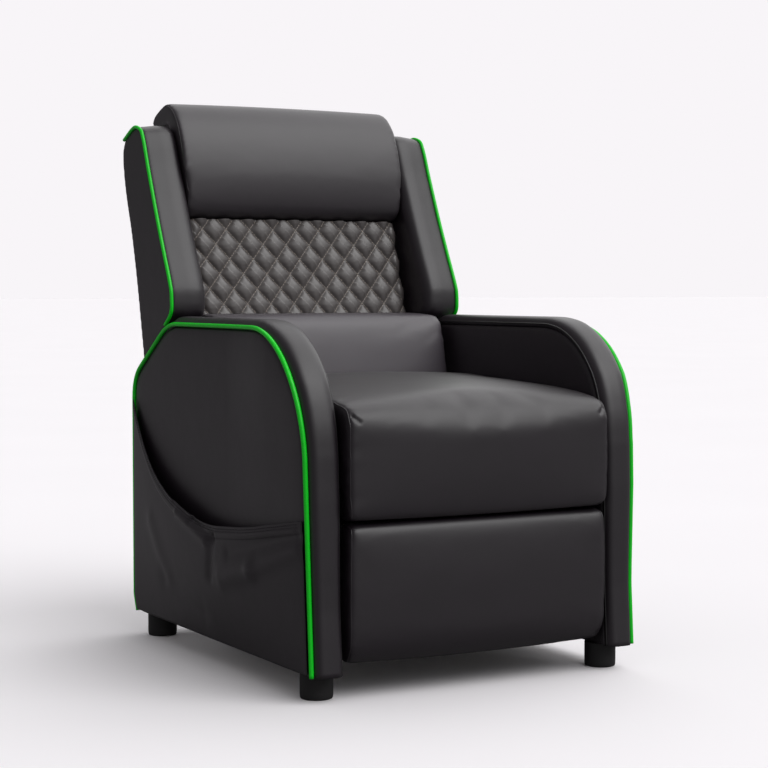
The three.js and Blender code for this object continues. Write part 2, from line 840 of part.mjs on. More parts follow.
// The seat's springs, from the front rail to the rear rail, tied together by cross wires
function seatSprings() {
  const start = seatRailFront + railThickness + touchGap;
  const end = seatRearRailRearward - railThickness - touchGap;
  const outermost = ((springCount - 1) / 2) * springPitch;
  const wires = [];
  for (let spring = 0; spring < springCount; spring += 1) {
    wires.push(tube(springPath(spring * springPitch - outermost, start, end), springWire, 2));
  }
  const reach = outermost + springAmplitude;
  for (let tie = 1; tie <= tieWireCount; tie += 1) {
    const along = start + ((end - start) * tie) / (tieWireCount + 1);
    const points = [-reach, reach].map((x) => new THREE.Vector3(x, along, springHeight));
    wires.push(tube(points, springWire, 2));
  }
  return joined(...wires);
}

// Rear link of the footrest: it turns on the seat plate and carries the knee and guide pins
function rearLink() {
  const { thigh, knee, guide } = pivots;
  const [from, to] = layerFaces(rearLayer);
  const eye = [[thigh, pinRadius + pinClearance]];
  const rootShare = 0.3;
  const armRoot = knee.clone().lerp(thigh, rootShare);
  return joined(
    plate(barShape(thigh, knee, linkWidth, eye), from, to),
    plate(barShape(guide, armRoot, linkWidth), from, to),
    pin(knee, pinRadius, pinTip(frontLayer), to),
    pin(guide, pinRadius, pinTip(guideLayer), to),
  );
}

function frontLink() {
  const { knee, footrest, kneeEar } = pivots;
  const hole = pinRadius + pinClearance;
  const [from, to] = layerFaces(frontLayer);
  const rootShare = 0.25;
  const armRoot = knee.clone().lerp(footrest, rootShare);
  const bars = joined(
    plate(barShape(knee, footrest, linkWidth), from, to),
    plate(barShape(kneeEar, armRoot, linkWidth), from, to),
  );
  return pierced(bars, [[knee, hole], [footrest, hole], [kneeEar, pinRadius + openPinClearance]]);
}

// The body with round holes through it along X
function pierced(geometry, holes) {
  let body = toManifold(geometry);
  for (const [place, radius] of holes) {
    body = body.subtract(toManifold(pin(place, radius, 0, armOuter)));
  }
  return fromManifold(body);
}

function controlLink() {
  const { control, kneeEar } = pivots;
  const [from, to] = layerFaces(controlLayer);
  const eye = [[control, pinRadius + pinClearance]];
  return joined(
    plate(barShape(control, kneeEar, linkWidth, eye), from, to),
    pin(kneeEar, pinRadius, pinTip(frontLayer), to),
  );
}

function guideLink() {
  const { guide, bracketEar } = pivots;
  const holes = [[guide, pinRadius + pinClearance], [bracketEar, pinRadius + openPinClearance]];
  return plate(barShape(guide, bracketEar, linkWidth, holes), ...layerFaces(guideLayer));
}

// Angle bracket behind the footrest's board, with the pins for the front and guide links
function footrestBracket() {
  const { footrest, bracketEar } = pivots;
  const bottom = footrest.y - bracketFlangeDrop;
  const top = footrest.y + bracketFlangeRise;
  const [from, to] = layerFaces(bracketLayer);
  const web = new THREE.Shape([
    ahead(footrestBoardRear, top),
    ahead(footrestBoardRear, bottom),
    ahead(footrestBoardRear - steelThickness, bottom),
    new THREE.Vector2(footrest.x + linkWidth / 2, footrest.y - linkWidth / 2),
    new THREE.Vector2(footrest.x + linkWidth / 2, top),
  ]);
  const flangeFrom = new THREE.Vector3(to - bracketFlangeWidth, -footrestBoardRear, bottom);
  const flangeTo = new THREE.Vector3(to, steelThickness - footrestBoardRear, top);
  const outerTip = layerFaces(frontLayer)[1] + touchGap;
  return joined(
    plate(web, from, to),
    plate(barShape(bracketEar, footrest, linkWidth), from, to),
    block(flangeFrom, flangeTo),
    pin(footrest, pinRadius, from, outerTip),
    pin(bracketEar, pinRadius, pinTip(guideLayer), to),
  );
}

// Tube that ties the left and right rear links together
function torqueTube() {
  const place = pivots.thigh.clone().add(behind(torqueTubeRearward, -torqueTubeDrop));
  const reach = layerFaces(rearLayer)[0] - touchGap;
  return pin(place, torqueTubeRadius, -reach, reach);
}

function footrestBoard() {
  const halfWidth = footrestHalfWidth - footrestBoardInset;
  const bottom = footrestBottom + footrestBoardInset;
  const top = footrestTop - footrestBoardInset;
  const front = ahead(footrestBoardForward, 0).x;
  return crossRail(front, bottom, top - bottom, halfWidth, footrestBoardThickness - touchGap);
}

function footrestOutline() {
  const rear = footrestBoardForward + touchGap;
  const coverShares = [
    [0.3, 0, 0.3],
    [0.62, 0.03, 0.7],
    [0.92, 0.16, 1],
    [1, 0.4, 1],
    [1, 0.7, 1],
    [0.9, 0.9, 0.8],
    [0.66, 0.98, 0.4],
    [0.35, 1, 0.1],
    [0, 1, 0],
  ];
  const cover = outlineOf(coverShares, (along, up) => ahead(
    rear + (footrestFront - rear) * along,
    footrestBottom + (footrestTop - footrestBottom) * up,
  ));
  return [{ at: ahead(rear, footrestBottom + footrestBoardInset), give: 0 }, ...cover];
}

function footrestCushion() {
  const hub = ahead((footrestBoardForward + footrestFront) / 2, (footrestBottom + footrestTop) / 2);
  const stations = cushionStations(footrestHalfWidth, footrestDrawIn, footrestCrown);
  return softBody(footrestOutline(), stations, hub);
}

// The posts end just past the line of the back's hinge
function postBottom() {
  return seenFromBack(pivots.backHinge).height - postReach;
}

// A bar of the back's frame, in the back's own frame
function backBar(fromX, toX, bottom, top) {
  const from = new THREE.Vector3(fromX, -postFront, bottom);
  return block(from, new THREE.Vector3(toX, -backCoverThickness - touchGap, top));
}

function backCover() {
  const halfWidth = wingInner - touchGap;
  const bottom = postBottom() - backCoverOverhang;
  const from = new THREE.Vector3(-halfWidth, -backCoverThickness, bottom);
  return block(from, new THREE.Vector3(halfWidth, 0, backCoverTop));
}

// Steel bracket on the outside of a post, which turns on the seat plate's hinge pin
function backBracket() {
  const depth = (postFront + backCoverThickness) / 2;
  const top = backPlace(depth, wingSole(depth) - backBracketDrop);
  const eye = [[pivots.backHinge, backHingePinRadius + pinClearance]];
  const shape = barShape(pivots.backHinge, top, backBracketWidth, eye);
  const from = postOuter + touchGap;
  return plate(shape, from, from + steelThickness);
}

// The wing's edge that carries piping, from its chin up the front and over the top
function wingEdge() {
  const edgeShares = [
    [0.737, 0.067],
    [0.874, 0.088],
    [0.955, 0.113],
    [0.988, 0.158],
    [0.995, 0.21],
    [0.886, 0.384],
    [0.772, 0.573],
    [0.664, 0.781],
    [0.575, 0.952],
    [0.471, 0.987],
    [0.345, 1],
    [0.029, 0.98],
  ];
  return edgeShares.map(([depth, height]) => inBack(wingDepth * depth, wingTop * height));
}

function wingOutline() {
  const napeShare = 0.964;
  const soleShares = [0, 0.35, 0.7];
  const sole = soleShares.map((share) => {
    const depth = wingDepth * share;
    return { at: inBack(depth, wingSole(depth)), give: 0 };
  });
  return [
    ...wingEdge().map((at) => ({ at, give: 1 })),
    { at: inBack(0, wingTop * napeShare), give: 0 },
    { at: inBack(0, wingTop / 2), give: 0 },
    ...sole,
  ];
}

// Its outer face is flat inside the piping, and its front rolls inwards and back to the inner face
function wing() {
  const underPiping = wingOuter - coverInset;
  const rollShares = [
    [0.25, wingPuff],
    [0.5, wingPuff],
    [0.72, 0],
    [0.9, -wingInnerSetback / 2],
    [1, -wingInnerSetback],
  ];
  const stations = [
    { x: wingOuter, swell: -coverInset },
    { x: underPiping, swell: -coverInset },
    { x: underPiping - touchGap, swell: coverEdgeRise },
  ];
  for (const [share, swell] of rollShares) {
    stations.push({ x: wingOuter - (wingOuter - wingInner) * share, swell });
  }
  const hub = inBack(wingDepth / 3, wingTop / 2);
  return softBody(wingOutline(), stations, hub);
}

function wingPiping() {
  const points = wingEdge().map((point) => new THREE.Vector3(wingOuter, point.x, point.y));
  return tube(points, pipingRadius, 6);
}

// A roll over the top of the back, flat where it lies on the frame
function headrest() {
  const seat = postFront + touchGap;
  const over = backCoverTop + touchGap;
  const rollShares = [
    [0.725, 0, 0.3],
    [0.88, 0.06, 0.8],
    [0.982, 0.26, 1],
    [1, 0.44, 1],
    [0.963, 0.64, 1],
    [0.853, 0.82, 1],
    [0.688, 0.94, 1],
    [0.468, 1, 1],
    [0.356, 1, 1],
    [0, 0.97, 1],
  ];
  const roll = outlineOf(rollShares, (depth, up) => inBack(
    headrestDepth * depth,
    headrestBottom + (headrestTop - headrestBottom) * up,
  ));
  const outline = [
    { at: inBack(seat, headrestBottom), give: 0 },
    ...roll,
    { at: inBack(-headrestRear, (over + headrestTop) / 2), give: 0.6 },
    { at: inBack(-headrestRear, over), give: 0 },
    { at: inBack(seat, over), give: 0 },
  ];
  const hub = inBack((seat + headrestDepth) / 2, (over + headrestTop) / 2);
  const halfWidth = wingInner - headrestSideGap;
  const stations = cushionStations(halfWidth, headrestDrawIn, headrestCrown);
  return softBody(outline, stations, hub);
}

// How full a diamond is: 0 on the stitched lines and 1 in its middle
function diamondFill(x, height) {
  const across = x / diamondWidth;
  const up = (height - diamondStart) / diamondHeight;
  return Math.sqrt(Math.abs(Math.sin(Math.PI * (across + up)) * Math.sin(Math.PI * (across - up))));
}

// The diamond-quilted panel: its rows and columns lie on quarters of the diamonds
function quiltedPanel() {
  const columnStep = diamondWidth / 4;
  const rowStep = diamondHeight / 4;
  const columnHalf = Math.floor(quiltHalfWidth / columnStep);
  const heights = [quiltBottom];
  const firstRow = Math.floor((quiltBottom - diamondStart) / rowStep) + 1;
  for (let i = firstRow; diamondStart + i * rowStep < quiltTop - touchGap; i += 1) {
    heights.push(diamondStart + i * rowStep);
  }
  heights.push(quiltTop);
  const xs = [];
  for (let i = -columnHalf; i <= columnHalf; i += 1) {
    xs.push(Math.abs(i) === columnHalf ? Math.sign(i) * quiltHalfWidth : i * columnStep);
  }
  return quiltMesh(xs, heights);
}

function quiltMesh(xs, heights) {
  const rows = heights.length;
  const at = (column, row) => column * rows + row;
  const onRim = (column, row) => [0, xs.length - 1].includes(column) || [0, rows - 1].includes(row);
  const fill = [];
  const front = [];
  xs.forEach((x, column) => {
    heights.forEach((height, row) => {
      const share = (height - quiltBottom) / (quiltTop - quiltBottom);
      const full = quiltBottomDepth + (quiltTopDepth - quiltBottomDepth) * share;
      const fullness = onRim(column, row) ? 0 : diamondFill(x, height);
      fill.push(fullness);
      front.push(new THREE.Vector3(x, grooveDepth * (1 - fullness) - full, height));
    });
  });
  const faces = [];
  for (let column = 0; column < xs.length - 1; column += 1) {
    for (let row = 0; row < rows - 1; row += 1) {
      const a = at(column, row);
      const b = at(column + 1, row);
      const c = at(column + 1, row + 1);
      const d = at(column, row + 1);
      if (fill[a] + fill[c] < fill[b] + fill[d]) faces.push([a, b, c], [a, c, d]);
      else faces.push([a, b, d], [b, c, d]);
    }
  }
  return closedBehind(front, faces, xs.length, rows);
}

// Closes a front surface with walls and a flat rear face on the frame's posts
function closedBehind(front, faces, columns, rows) {
  const rim = [];
  for (let column = 0; column < columns - 1; column += 1) rim.push(column * rows);
  for (let row = 0; row < rows - 1; row += 1) rim.push((columns - 1) * rows + row);
  for (let column = columns - 1; column > 0; column -= 1) rim.push(column * rows + rows - 1);
  for (let row = rows - 1; row > 0; row -= 1) rim.push(row);
  const rear = -(postFront + touchGap);
  const wall = rim.map((index) => new THREE.Vector3(front[index].x, rear, front[index].z));
  const middle = wall.reduce((sum, place) => sum.add(place), new THREE.Vector3());
  const places = [...front, ...wall, middle.divideScalar(wall.length)];
  const first = front.length;
  rim.forEach((a, i) => {
    const next = (i + 1) % rim.length;
    faces.push([rim[next], a, first + i], [rim[next], first + i, first + next]);
    faces.push([first + next, first + i, places.length - 1]);
  });
  return closedMesh(places, faces);
}

// The lumbar cushion is wider in front of the wings than between them
function lumbarCushion() {
  const seat = postFront + touchGap;
  const heelShare = 0.145;
  const coverShares = [
    [0.689, 0, 0.3],
    [0.922, 0.073, 0.8],
    [1, 0.218, 1],
    [1.016, 0.5, 1],
    [1.008, 0.767, 1],
    [0.977, 0.862, 1],
    [0.907, 0.905, 0.6],
    [0.783, 0.942, 0.3],
  ];
  const tall = lumbarTop + lumbarDrop;
  const place = (depth, up) => inBack(lumbarDepth * depth, tall * up - lumbarDrop);
  const outline = [
    { at: inBack(seat, tall * heelShare - lumbarDrop), give: 0 },
    ...outlineOf(coverShares, place),
    { at: inBack(quiltBottomDepth, lumbarTop), give: 0 },
    { at: inBack(seat, lumbarTop), give: 0 },
  ];
  const hub = inBack((seat + lumbarDepth) / 2, 0);
  const halfWidth = armInner - lumbarArmGap;
  const stations = cushionStations(halfWidth, lumbarDrawIn, lumbarCrown);
  const geometry = softBody(outline, stations, hub);
  const position = geometry.attributes.position;
  const shoulder = wingDepth + wingPuff;
  const narrowShare = (wingInner - lumbarWingGap) / halfWidth;
  for (let i = 0; i < position.count; i += 1) {
    if (-position.getY(i) < shoulder) position.setX(i, position.getX(i) * narrowShare);
  }
  return geometry;
}

// Assembly

const chair = new THREE.Group();
const back = new THREE.Group();
back.position.set(0, backRear, backHeight);
back.rotation.x = -lean;
chair.add(back);

function add(name, geometry, material, group = chair) {
  const mesh = new THREE.Mesh(geometry, material);
  mesh.name = name;
  group.add(mesh);
  return mesh;
}

// The piece on both sides, built once for +X
function addPair(name, geometry, material, group = chair) {
  add(`${name}_left`, geometry, material, group);
  add(`${name}_right`, mirrored(geometry), material, group);
}

function addBase() {
  addPair('arm_board', armBoard(), materials.wood);
  addPair('arm_outer_cover', armOuterCover(), materials.leather);
  addPair('arm_inner_cover', armInnerCover(), materials.leather);
  addPair('arm_top_cover', armTopCover(), materials.leather);
  addPair('arm_piping', armPiping(), materials.piping);
  add('side_pocket', mirrored(sidePocket()), materials.leather);
  const footPlaces = [['front', footFrontInset - armFront], ['rear', armRear - footRearInset]];
  for (const [place, along] of footPlaces) {
    for (const [side, sign] of [['left', 1], ['right', -1]]) {
      const mesh = add(`foot_${place}_${side}`, foot(), materials.plastic);
      mesh.position.set(sign * (armOuter - footSideInset), along, 0);
    }
  }
  const reach = armInner - touchGap;
  const frontRail = crossRail(-frontRailForward, baseRailBottom, frontRailHeight, reach, railThickness);
  add('base_front_rail', frontRail, materials.wood);
  const rearFront = rearRailRearward - railThickness;
  const rearRail = crossRail(rearFront, baseRailBottom, rearRailHeight, reach, railThickness);
  add('base_rear_rail', rearRail, materials.wood);
  const height = rearPanelTop - rearPanelBottom;
  const front = rearRailRearward + touchGap;
  const rearPanel = crossRail(front, rearPanelBottom, height, reach, rearPanelThickness);
  add('rear_panel', rearPanel, materials.lining);
  addPair('base_plate', basePlate(), materials.steel);
  addPair('swing_link_front', swingLink(pivots.swingFront, pivots.seatFront), materials.steel);
  addPair('swing_link_rear', swingLink(pivots.swingRear, pivots.seatRear), materials.steel);
}

function addSeat() {
  addPair('seat_plate', seatPlate(), materials.steel);
  const bottom = seatRailTop - seatRailHeight;
  const front = seatRailFront;
  const rear = seatRearRailRearward - railThickness;
  const rail = (place) => crossRail(place, bottom, seatRailHeight, seatRailOuter, railThickness);
  add('seat_front_rail', rail(front), materials.wood);
  add('seat_rear_rail', rail(rear), materials.wood);
  const sideRail = block(
    new THREE.Vector3(seatRailOuter - railThickness, front + railThickness + touchGap, bottom),
    new THREE.Vector3(seatRailOuter, rear - touchGap, seatRailTop),
  );
  addPair('seat_side_rail', sideRail, materials.wood);
  add('seat_springs', seatSprings(), materials.spring);
  add('seat_cushion', seatCushion(), materials.leather);
}

function addFootrest() {
  addPair('footrest_rear_link', rearLink(), materials.steel);
  add('footrest_torque_tube', torqueTube(), materials.steel);
  addPair('footrest_front_link', frontLink(), materials.steel);
  addPair('footrest_control_link', controlLink(), materials.steel);
  addPair('footrest_guide_link', guideLink(), materials.steel);
  addPair('footrest_bracket', footrestBracket(), materials.steel);
  add('footrest_board', footrestBoard(), materials.wood);
  add('footrest_cushion', footrestCushion(), materials.leather);
}

function addBack() {
  const postInner = postOuter - postWidth;
  const bottom = postBottom();
  addPair('back_post', backBar(postInner, postOuter, bottom, backCoverTop), materials.wood, back);
  const reach = postInner - touchGap;
  const topRail = backBar(-reach, reach, backCoverTop - backRailHeight, backCoverTop);
  add('back_top_rail', topRail, materials.wood, back);
  add('back_lower_rail', backBar(-reach, reach, bottom, bottom + backRailHeight), materials.wood, back);
  add('back_cover', backCover(), materials.leather, back);
  addPair('back_bracket', backBracket(), materials.steel);
  addPair('wing', wing(), materials.leather, back);
  addPair('wing_piping', wingPiping(), materials.piping, back);
  add('headrest', headrest(), materials.leather, back);
  add('quilted_panel', quiltedPanel(), materials.quilt, back);
  add('lumbar_cushion', lumbarCushion(), materials.leather, back);
}

addBase();
addSeat();
addFootrest();
addBack();

// The origin is on the floor, under the middle of the chair
chair.updateMatrixWorld(true);
const bounds = new THREE.Box3().setFromObject(chair, true);
const middle = bounds.getCenter(new THREE.Vector3());
chair.position.set(-middle.x, -middle.y, -bounds.min.z);

// The hinge lines' places in the side view, for whoever makes the chair move
chair.userData.pivots = pivots;

export default chair;
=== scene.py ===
import json
import math

import bmesh
import bpy
from mathutils import Matrix, Vector, noise
from mathutils.bvhtree import BVHTree
from mathutils.geometry import interpolate_bezier
from mathutils.kdtree import KDTree


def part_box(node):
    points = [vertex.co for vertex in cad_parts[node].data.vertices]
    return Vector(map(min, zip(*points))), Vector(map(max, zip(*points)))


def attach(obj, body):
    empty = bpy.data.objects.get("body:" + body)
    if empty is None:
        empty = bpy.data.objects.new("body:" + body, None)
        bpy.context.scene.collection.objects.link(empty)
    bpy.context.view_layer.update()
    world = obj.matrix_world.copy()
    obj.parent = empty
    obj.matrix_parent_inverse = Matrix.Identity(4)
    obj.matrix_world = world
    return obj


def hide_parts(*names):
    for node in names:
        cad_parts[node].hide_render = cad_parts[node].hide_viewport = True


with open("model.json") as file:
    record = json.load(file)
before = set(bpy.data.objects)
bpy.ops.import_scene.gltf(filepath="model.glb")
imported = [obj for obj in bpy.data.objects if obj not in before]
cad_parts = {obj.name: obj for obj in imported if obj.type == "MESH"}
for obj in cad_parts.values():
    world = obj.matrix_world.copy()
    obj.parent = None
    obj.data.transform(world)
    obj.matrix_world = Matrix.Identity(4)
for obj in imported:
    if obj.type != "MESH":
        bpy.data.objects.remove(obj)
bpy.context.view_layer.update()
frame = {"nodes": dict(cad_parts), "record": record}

# A push-back recliner in smooth black leatherette with green piping. Sizes are in millimetres, in
# the chair's own frame: +X to the right of someone who looks at its front, Y to the rear, Z up.
# Left and right in the names are the sitter's, so right is -X.
MM = 0.001

SEAT_HALF = 253
SEAT_REAR = 100
SEAT_FRONT = 400
SEAT_TOP = 500
SEAT_UNDERSIDE = 344.3
SEAT_LIP_BOTTOM = 291.5
SEAT_LIP = 40
# At both front corners: x and a place in the side view, how far it runs inwards and to which
# place, and a height
SEAT_CORNER_FOLDS = [
    (253, (-384, 474), 8, (-393, 466), -2.6), (245, (-391, 461), 10, (-398, 452), -2.6),
    (241, (-393, 467), 9, (-399, 459), 1.6),
]

FOOTREST_HALF = 251
FOOTREST_REAR = 350.3
FOOTREST_FRONT = 398
FOOTREST_BOTTOM = 56
FOOTREST_TOP = 286

ARM_INNER = 258
ARM_OUTER = 314
ARM_BOARD_OUTER = 302.7
ARM_BOARD_INNER = 284.7
ARM_BOTTOM = 43
ARM_TOP = 600
ARM_REAR = 376
ARM_FRONT = 360
ARM_TOE = 23
ARM_CURVE_RUN = 199
ARM_CURVE_DROP = 205
ARM_SLANT_RUN = 171
ARM_SLANT_DROP = 105
ARM_SLANT_ROUNDING = 40
ARM_HEEL_RUN = 12
ARM_HEEL_RISE = 32
ARM_CROWN = 13
# The share of the crown that is left on the slant, and the run over which it fades
SLANT_CROWN = 0.3
CROWN_FADE = 40
# How far from its sewn edge an arm's side cover is two thirds full
SIDE_FILL_RUN = 18
ARM_PIPING = 4
WING_PIPING = 3.4
INNER_WELT = 1.6
TOUCH_GAP = 0.3

POCKET_THICKNESS = 2.2
POCKET_BULGE = 26
POCKET_INSET = 8
# How far the pocket stands off the arm's side cover, without its bulge
POCKET_OFF = 4
POCKET_BOTTOM = 47
POCKET_HEM = [
    (368, 452), (297, 378), (228, 327), (152, 293), (87, 275), (20, 261), (-54, 256), (-129, 261),
    (-189, 267), (-266, 279), (-376, 297),
]
POCKET_HEM_BAND = 21
HEM_RISE = 1.3
POCKET_STITCH_ROWS = (4.5, 9)
STITCH_SINK = 0.7
STITCH_REACH = 1.3
# Two ends in the side view, a width and a height
POCKET_FOLDS = [
    ((112, 284), (30, 258), 8, 3), ((30, 258), (-57, 236), 9, 4), ((-57, 236), (-40, 165), 12, 4),
    ((96, 262), (-30, 226), 10, -4), ((-90, 170), (-200, 196), 20, -5),
    ((-200, 196), (-345, 246), 16, -4), ((-120, 215), (-345, 268), 13, 3),
    ((-80, 242), (-340, 276), 8, -2.5), ((190, 130), (20, 90), 26, 3),
    ((250, 230), (170, 140), 22, -3),
]

FOOT_RADIUS = 27.5
FOOT_SIDE = 281
FOOT_FRONT = 335
FOOT_REAR = 320

# Sides of the hidden wraps over the frame, and their corners in the side view
POST_WRAP = 226, 236, (-64.3, -90), (-1, 441.6)
SEAT_WRAP = 228, 247.6, (-361.6, 297), (96, 346)
BOARD_WRAP = -244, 244, (-351, 60.4), (-336.6, 281.6)

BACK_LEAN = math.radians(12.8)
BACK_REAR = 347
BACK_HEIGHT = 542
BACK_SEAT = 62.3
BACK_COVER_TOP = 440
BACK_COVER_BOTTOM = -250
BACK_COVER_THICKNESS = 12
WING_INNER = 235
WING_OUTER = 308
WING_TOP = 430
WING_DEPTH = 167
WING_GAP = 9
HEADREST_HALF = 233
HEADREST_OVERHANG = 7
HEADREST_BOTTOM = 247
HEADREST_TOP = 482
HEADREST_DEPTH = 126
HEADREST_REAR = 14
QUILT_HALF = 225
QUILT_BOTTOM = 52.6
QUILT_TOP = 243
QUILT_BOTTOM_DEPTH = 111
QUILT_TOP_DEPTH = 97
DIAMOND_WIDTH = 50
DIAMOND_HEIGHT = 60
DIAMOND_START = 103
QUILT_FILL = 8
QUILT_EDGE = 16
# How far from its two stitched lines a diamond is two thirds full, and how much it leans over
FALLING_GROOVE = 4.2
RISING_GROOVE = 5.5
DIAMOND_LEAN = 0.28
BACK_SKIRT = 92
BACK_SEAM = 9
BACK_FILL = 7
BACK_FILL_RUN = 30
BACK_WAVE = 2.4
SKIRT_GROOVE = 2.2
SKIRT_ROW = 4.5
SPRING_COUNT = 4
SPRING_WAVES = 5
SPRING_SWAY = 22
SPRING_PITCH = 96
SPRING_LEAD = 8
SPRING_WIRE = 2
LUMBAR_HALF = 245
LUMBAR_TOP = 52
LUMBAR_DEPTH = 206
LUMBAR_DROP = 168
LUMBAR_SHOULDER = 173
LUMBAR_FLARE = 12

# Vertices closer than this are one, and stitches and seams are cast from this far off
SAME_PLACE = 0.01
CAST_FROM = 60


# Places

def place_of_frame():
    """Where the chair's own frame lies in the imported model, from a foot's middle."""
    low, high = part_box("foot_front_left")
    middle = (low + high) / 2
    return Vector((middle.x - FOOT_SIDE * MM, middle.y + FOOT_FRONT * MM, 0))


CHAIR = Matrix.Translation(place_of_frame()) @ Matrix.Scale(MM, 4)
BACK = CHAIR @ Matrix.Translation((0, BACK_REAR, BACK_HEIGHT)) @ Matrix.Rotation(-BACK_LEAN, 4, "X")
# The way to the rear in the back's own frame
REARWARD = (BACK.to_3x3() @ Vector((0, 1, 0))).normalized()


def side(rearward, up):
    return Vector((rearward, up))


def clamped(value):
    """The value, kept between 0 and 1."""
    return min(max(value, 0), 1)


def in_back(depth, height):
    """A side-view place in the back's own frame: depth in front of its rear plane, and height."""
    return Vector((-depth, height))


def smooth_through(points, steps=5):
    """A smooth line through all the points, which may carry a third number along."""
    tangents = []
    for i, point in enumerate(points):
        before = points[max(i - 1, 0)]
        after = points[min(i + 1, len(points) - 1)]
        tangents.append((after - before).normalized())
    line = []
    for i in range(len(points) - 1):
        start, end = points[i], points[i + 1]
        reach = (end - start).length / 3
        handles = start + tangents[i] * reach, end - tangents[i + 1] * reach
        line += interpolate_bezier(start, *handles, end, steps + 1)[:-1]
    return line + [points[-1]]


def evenly(line, step):
    """The same line, in equal steps of about this length."""
    lengths = [0]
    for a, b in zip(line, line[1:]):
        lengths.append(lengths[-1] + (b.xy - a.xy).length)
    count = max(round(lengths[-1] / step), 1)
    places = []
    index = 0
    for i in range(count + 1):
        target = lengths[-1] * i / count
        while index < len(line) - 2 and lengths[index + 1] < target:
            index += 1
        span = lengths[index + 1] - lengths[index]
        share = (target - lengths[index]) / span if span else 0
        places.append(line[index].lerp(line[index + 1], clamped(share)))
    return places


def outward(line, closed):
    """Normals of a side-view line whose inside lies to its right."""
    count = len(line)
    normals = []
    for i, point in enumerate(line):
        before = line[(i - 1) % count if closed else max(i - 1, 0)].xy
        after = line[(i + 1) % count if closed else min(i + 1, count - 1)].xy
        along = (point.xy - before).normalized() + (after - point.xy).normalized()
        along.normalize()
        normals.append(Vector((-along.y, along.x)))
    return normals


# Meshes

def finished(name, bm, matrix, material, sharp=None):
    """Puts a bmesh into the row frame, with its faces pointing outwards, as an object."""
    bm.transform(matrix)
    bmesh.ops.recalc_face_normals(bm, faces=bm.faces)
    mesh = bpy.data.meshes.new(name)
    bm.to_mesh(mesh)
    bm.free()
    mesh.materials.append(material)
    mesh.shade_smooth()
    if sharp:
        mesh.set_sharp_from_angle(angle=math.radians(sharp))
    piece = bpy.data.objects.new(name, mesh)
    bpy.context.scene.collection.objects.link(piece)
    return piece


def hole_free(bm):
    """Fills all the holes of a bmesh."""
    bmesh.ops.holes_fill(bm, edges=[edge for edge in bm.edges if edge.is_boundary], sides=0)
    return bm


def sheet_pad(columns, rows, place, rear):
    """A grid put where place says, from shares of -0.5 to 0.5, and closed at its flat rear."""
    bm = bmesh.new()
    bmesh.ops.create_grid(bm, x_segments=columns, y_segments=rows, size=0.5)
    for vert in bm.verts:
        vert.co = place(vert.co.x, vert.co.y)
    rim = [edge for edge in bm.edges if edge.is_boundary]
    for item in bmesh.ops.extrude_edge_only(bm, edges=rim)["geom"]:
        if isinstance(item, bmesh.types.BMVert):
            item.co.y = rear
    return hole_free(bm)


def rings_mesh(rings):
    """A bmesh drawn out from ring to ring, each a list of as many places, with closed ends."""
    bm = bmesh.new()
    corner = bm.verts.layers.int.new("corner")
    verts = [bm.verts.new(place) for place in rings[0]]
    for index, vert in enumerate(verts):
        vert[corner] = index
    edges = [bm.edges.new(pair) for pair in zip(verts, verts[1:] + verts[:1])]
    for ring in rings[1:]:
        made = bmesh.ops.extrude_edge_only(bm, edges=edges)["geom"]
        new = {item for item in made if isinstance(item, bmesh.types.BMVert)}
        for vert in new:
            vert.co = ring[vert[corner]]
        edges = [
            item for item in made
            if isinstance(item, bmesh.types.BMEdge) and set(item.verts) <= new
        ]
    return hole_free(bm)


def cords(name, lines, radius, matrix, material, sides=3):
    """Round cords along lines of places, all in one piece."""
    curve = bpy.data.curves.new(name, "CURVE")
    curve.dimensions = "3D"
    curve.bevel_depth = radius * MM
    curve.bevel_resolution = sides
    curve.use_fill_caps = True
    for line in lines:
        spline = curve.splines.new("POLY")
        spline.points.add(len(line) - 1)
        for point, place in zip(spline.points, line):
            point.co = (matrix @ Vector(place)).to_4d()
    drawn = bpy.data.objects.new(name, curve)
    mesh = bpy.data.meshes.new_from_object(drawn)
    bpy.data.objects.remove(drawn)
    bm = bmesh.new()
    bm.from_mesh(mesh)
    bmesh.ops.remove_doubles(bm, verts=bm.verts, dist=SAME_PLACE * MM)
    bpy.data.meshes.remove(mesh)
    return finished(name, bm, Matrix.Identity(4), material)


def surface_tree(piece):
    """A piece's surface, for places to be dropped onto."""
    bm = bmesh.new()
    bm.from_mesh(piece.data)
    tree = BVHTree.FromBMesh(bm)
    bm.free()
    return tree


def dropped(tree, places, directions, sink):
    """Places dropped along directions onto a piece and a little into it, with the normals there."""
    found = []
    for place, direction in zip(places, directions):
        hit, normal, _, _ = tree.ray_cast(place, direction)
        if hit:
            if normal.dot(direction) > 0:
                normal = -normal
            found.append((hit - normal * sink * MM, normal))
    return found


def stitches(name, piece, rows, toward, rise, length, gap, radius, material):
    """Thread stitches along rows of places, dropped one way onto a piece and raised off it."""
    tree = surface_tree(piece)
    pitch = (length + gap) * MM
    threads = []
    for places in rows:
        row = dropped(tree, places, [toward] * len(places), -rise)
        travelled = 0
        for (start, normal), (end, _) in zip(row, row[1:]):
            span = (end - start).length
            along = (end - start).normalized() if span else Vector()
            at = (pitch - travelled) % pitch
            while at < span:
                threads.append([
                    start + along * (at + length * share * MM) + normal * radius * up * MM
                    for share, up in [(0, -0.8), (0.2, 0.6), (0.8, 0.6), (1, -0.8)]
                ])
                at += pitch
            travelled = (travelled + span) % pitch
    return cords(name, threads, radius, Matrix.Identity(4), material, sides=1)


def pushed(piece, matrix, how_far):
    """Moves each vertex along its normal, by the millimetres that its place gives."""
    into = matrix.inverted()
    normals = [vert.normal.copy() for vert in piece.data.vertices]
    for vert, normal in zip(piece.data.vertices, normals):
        vert.co += normal * how_far(into @ vert.co) * MM


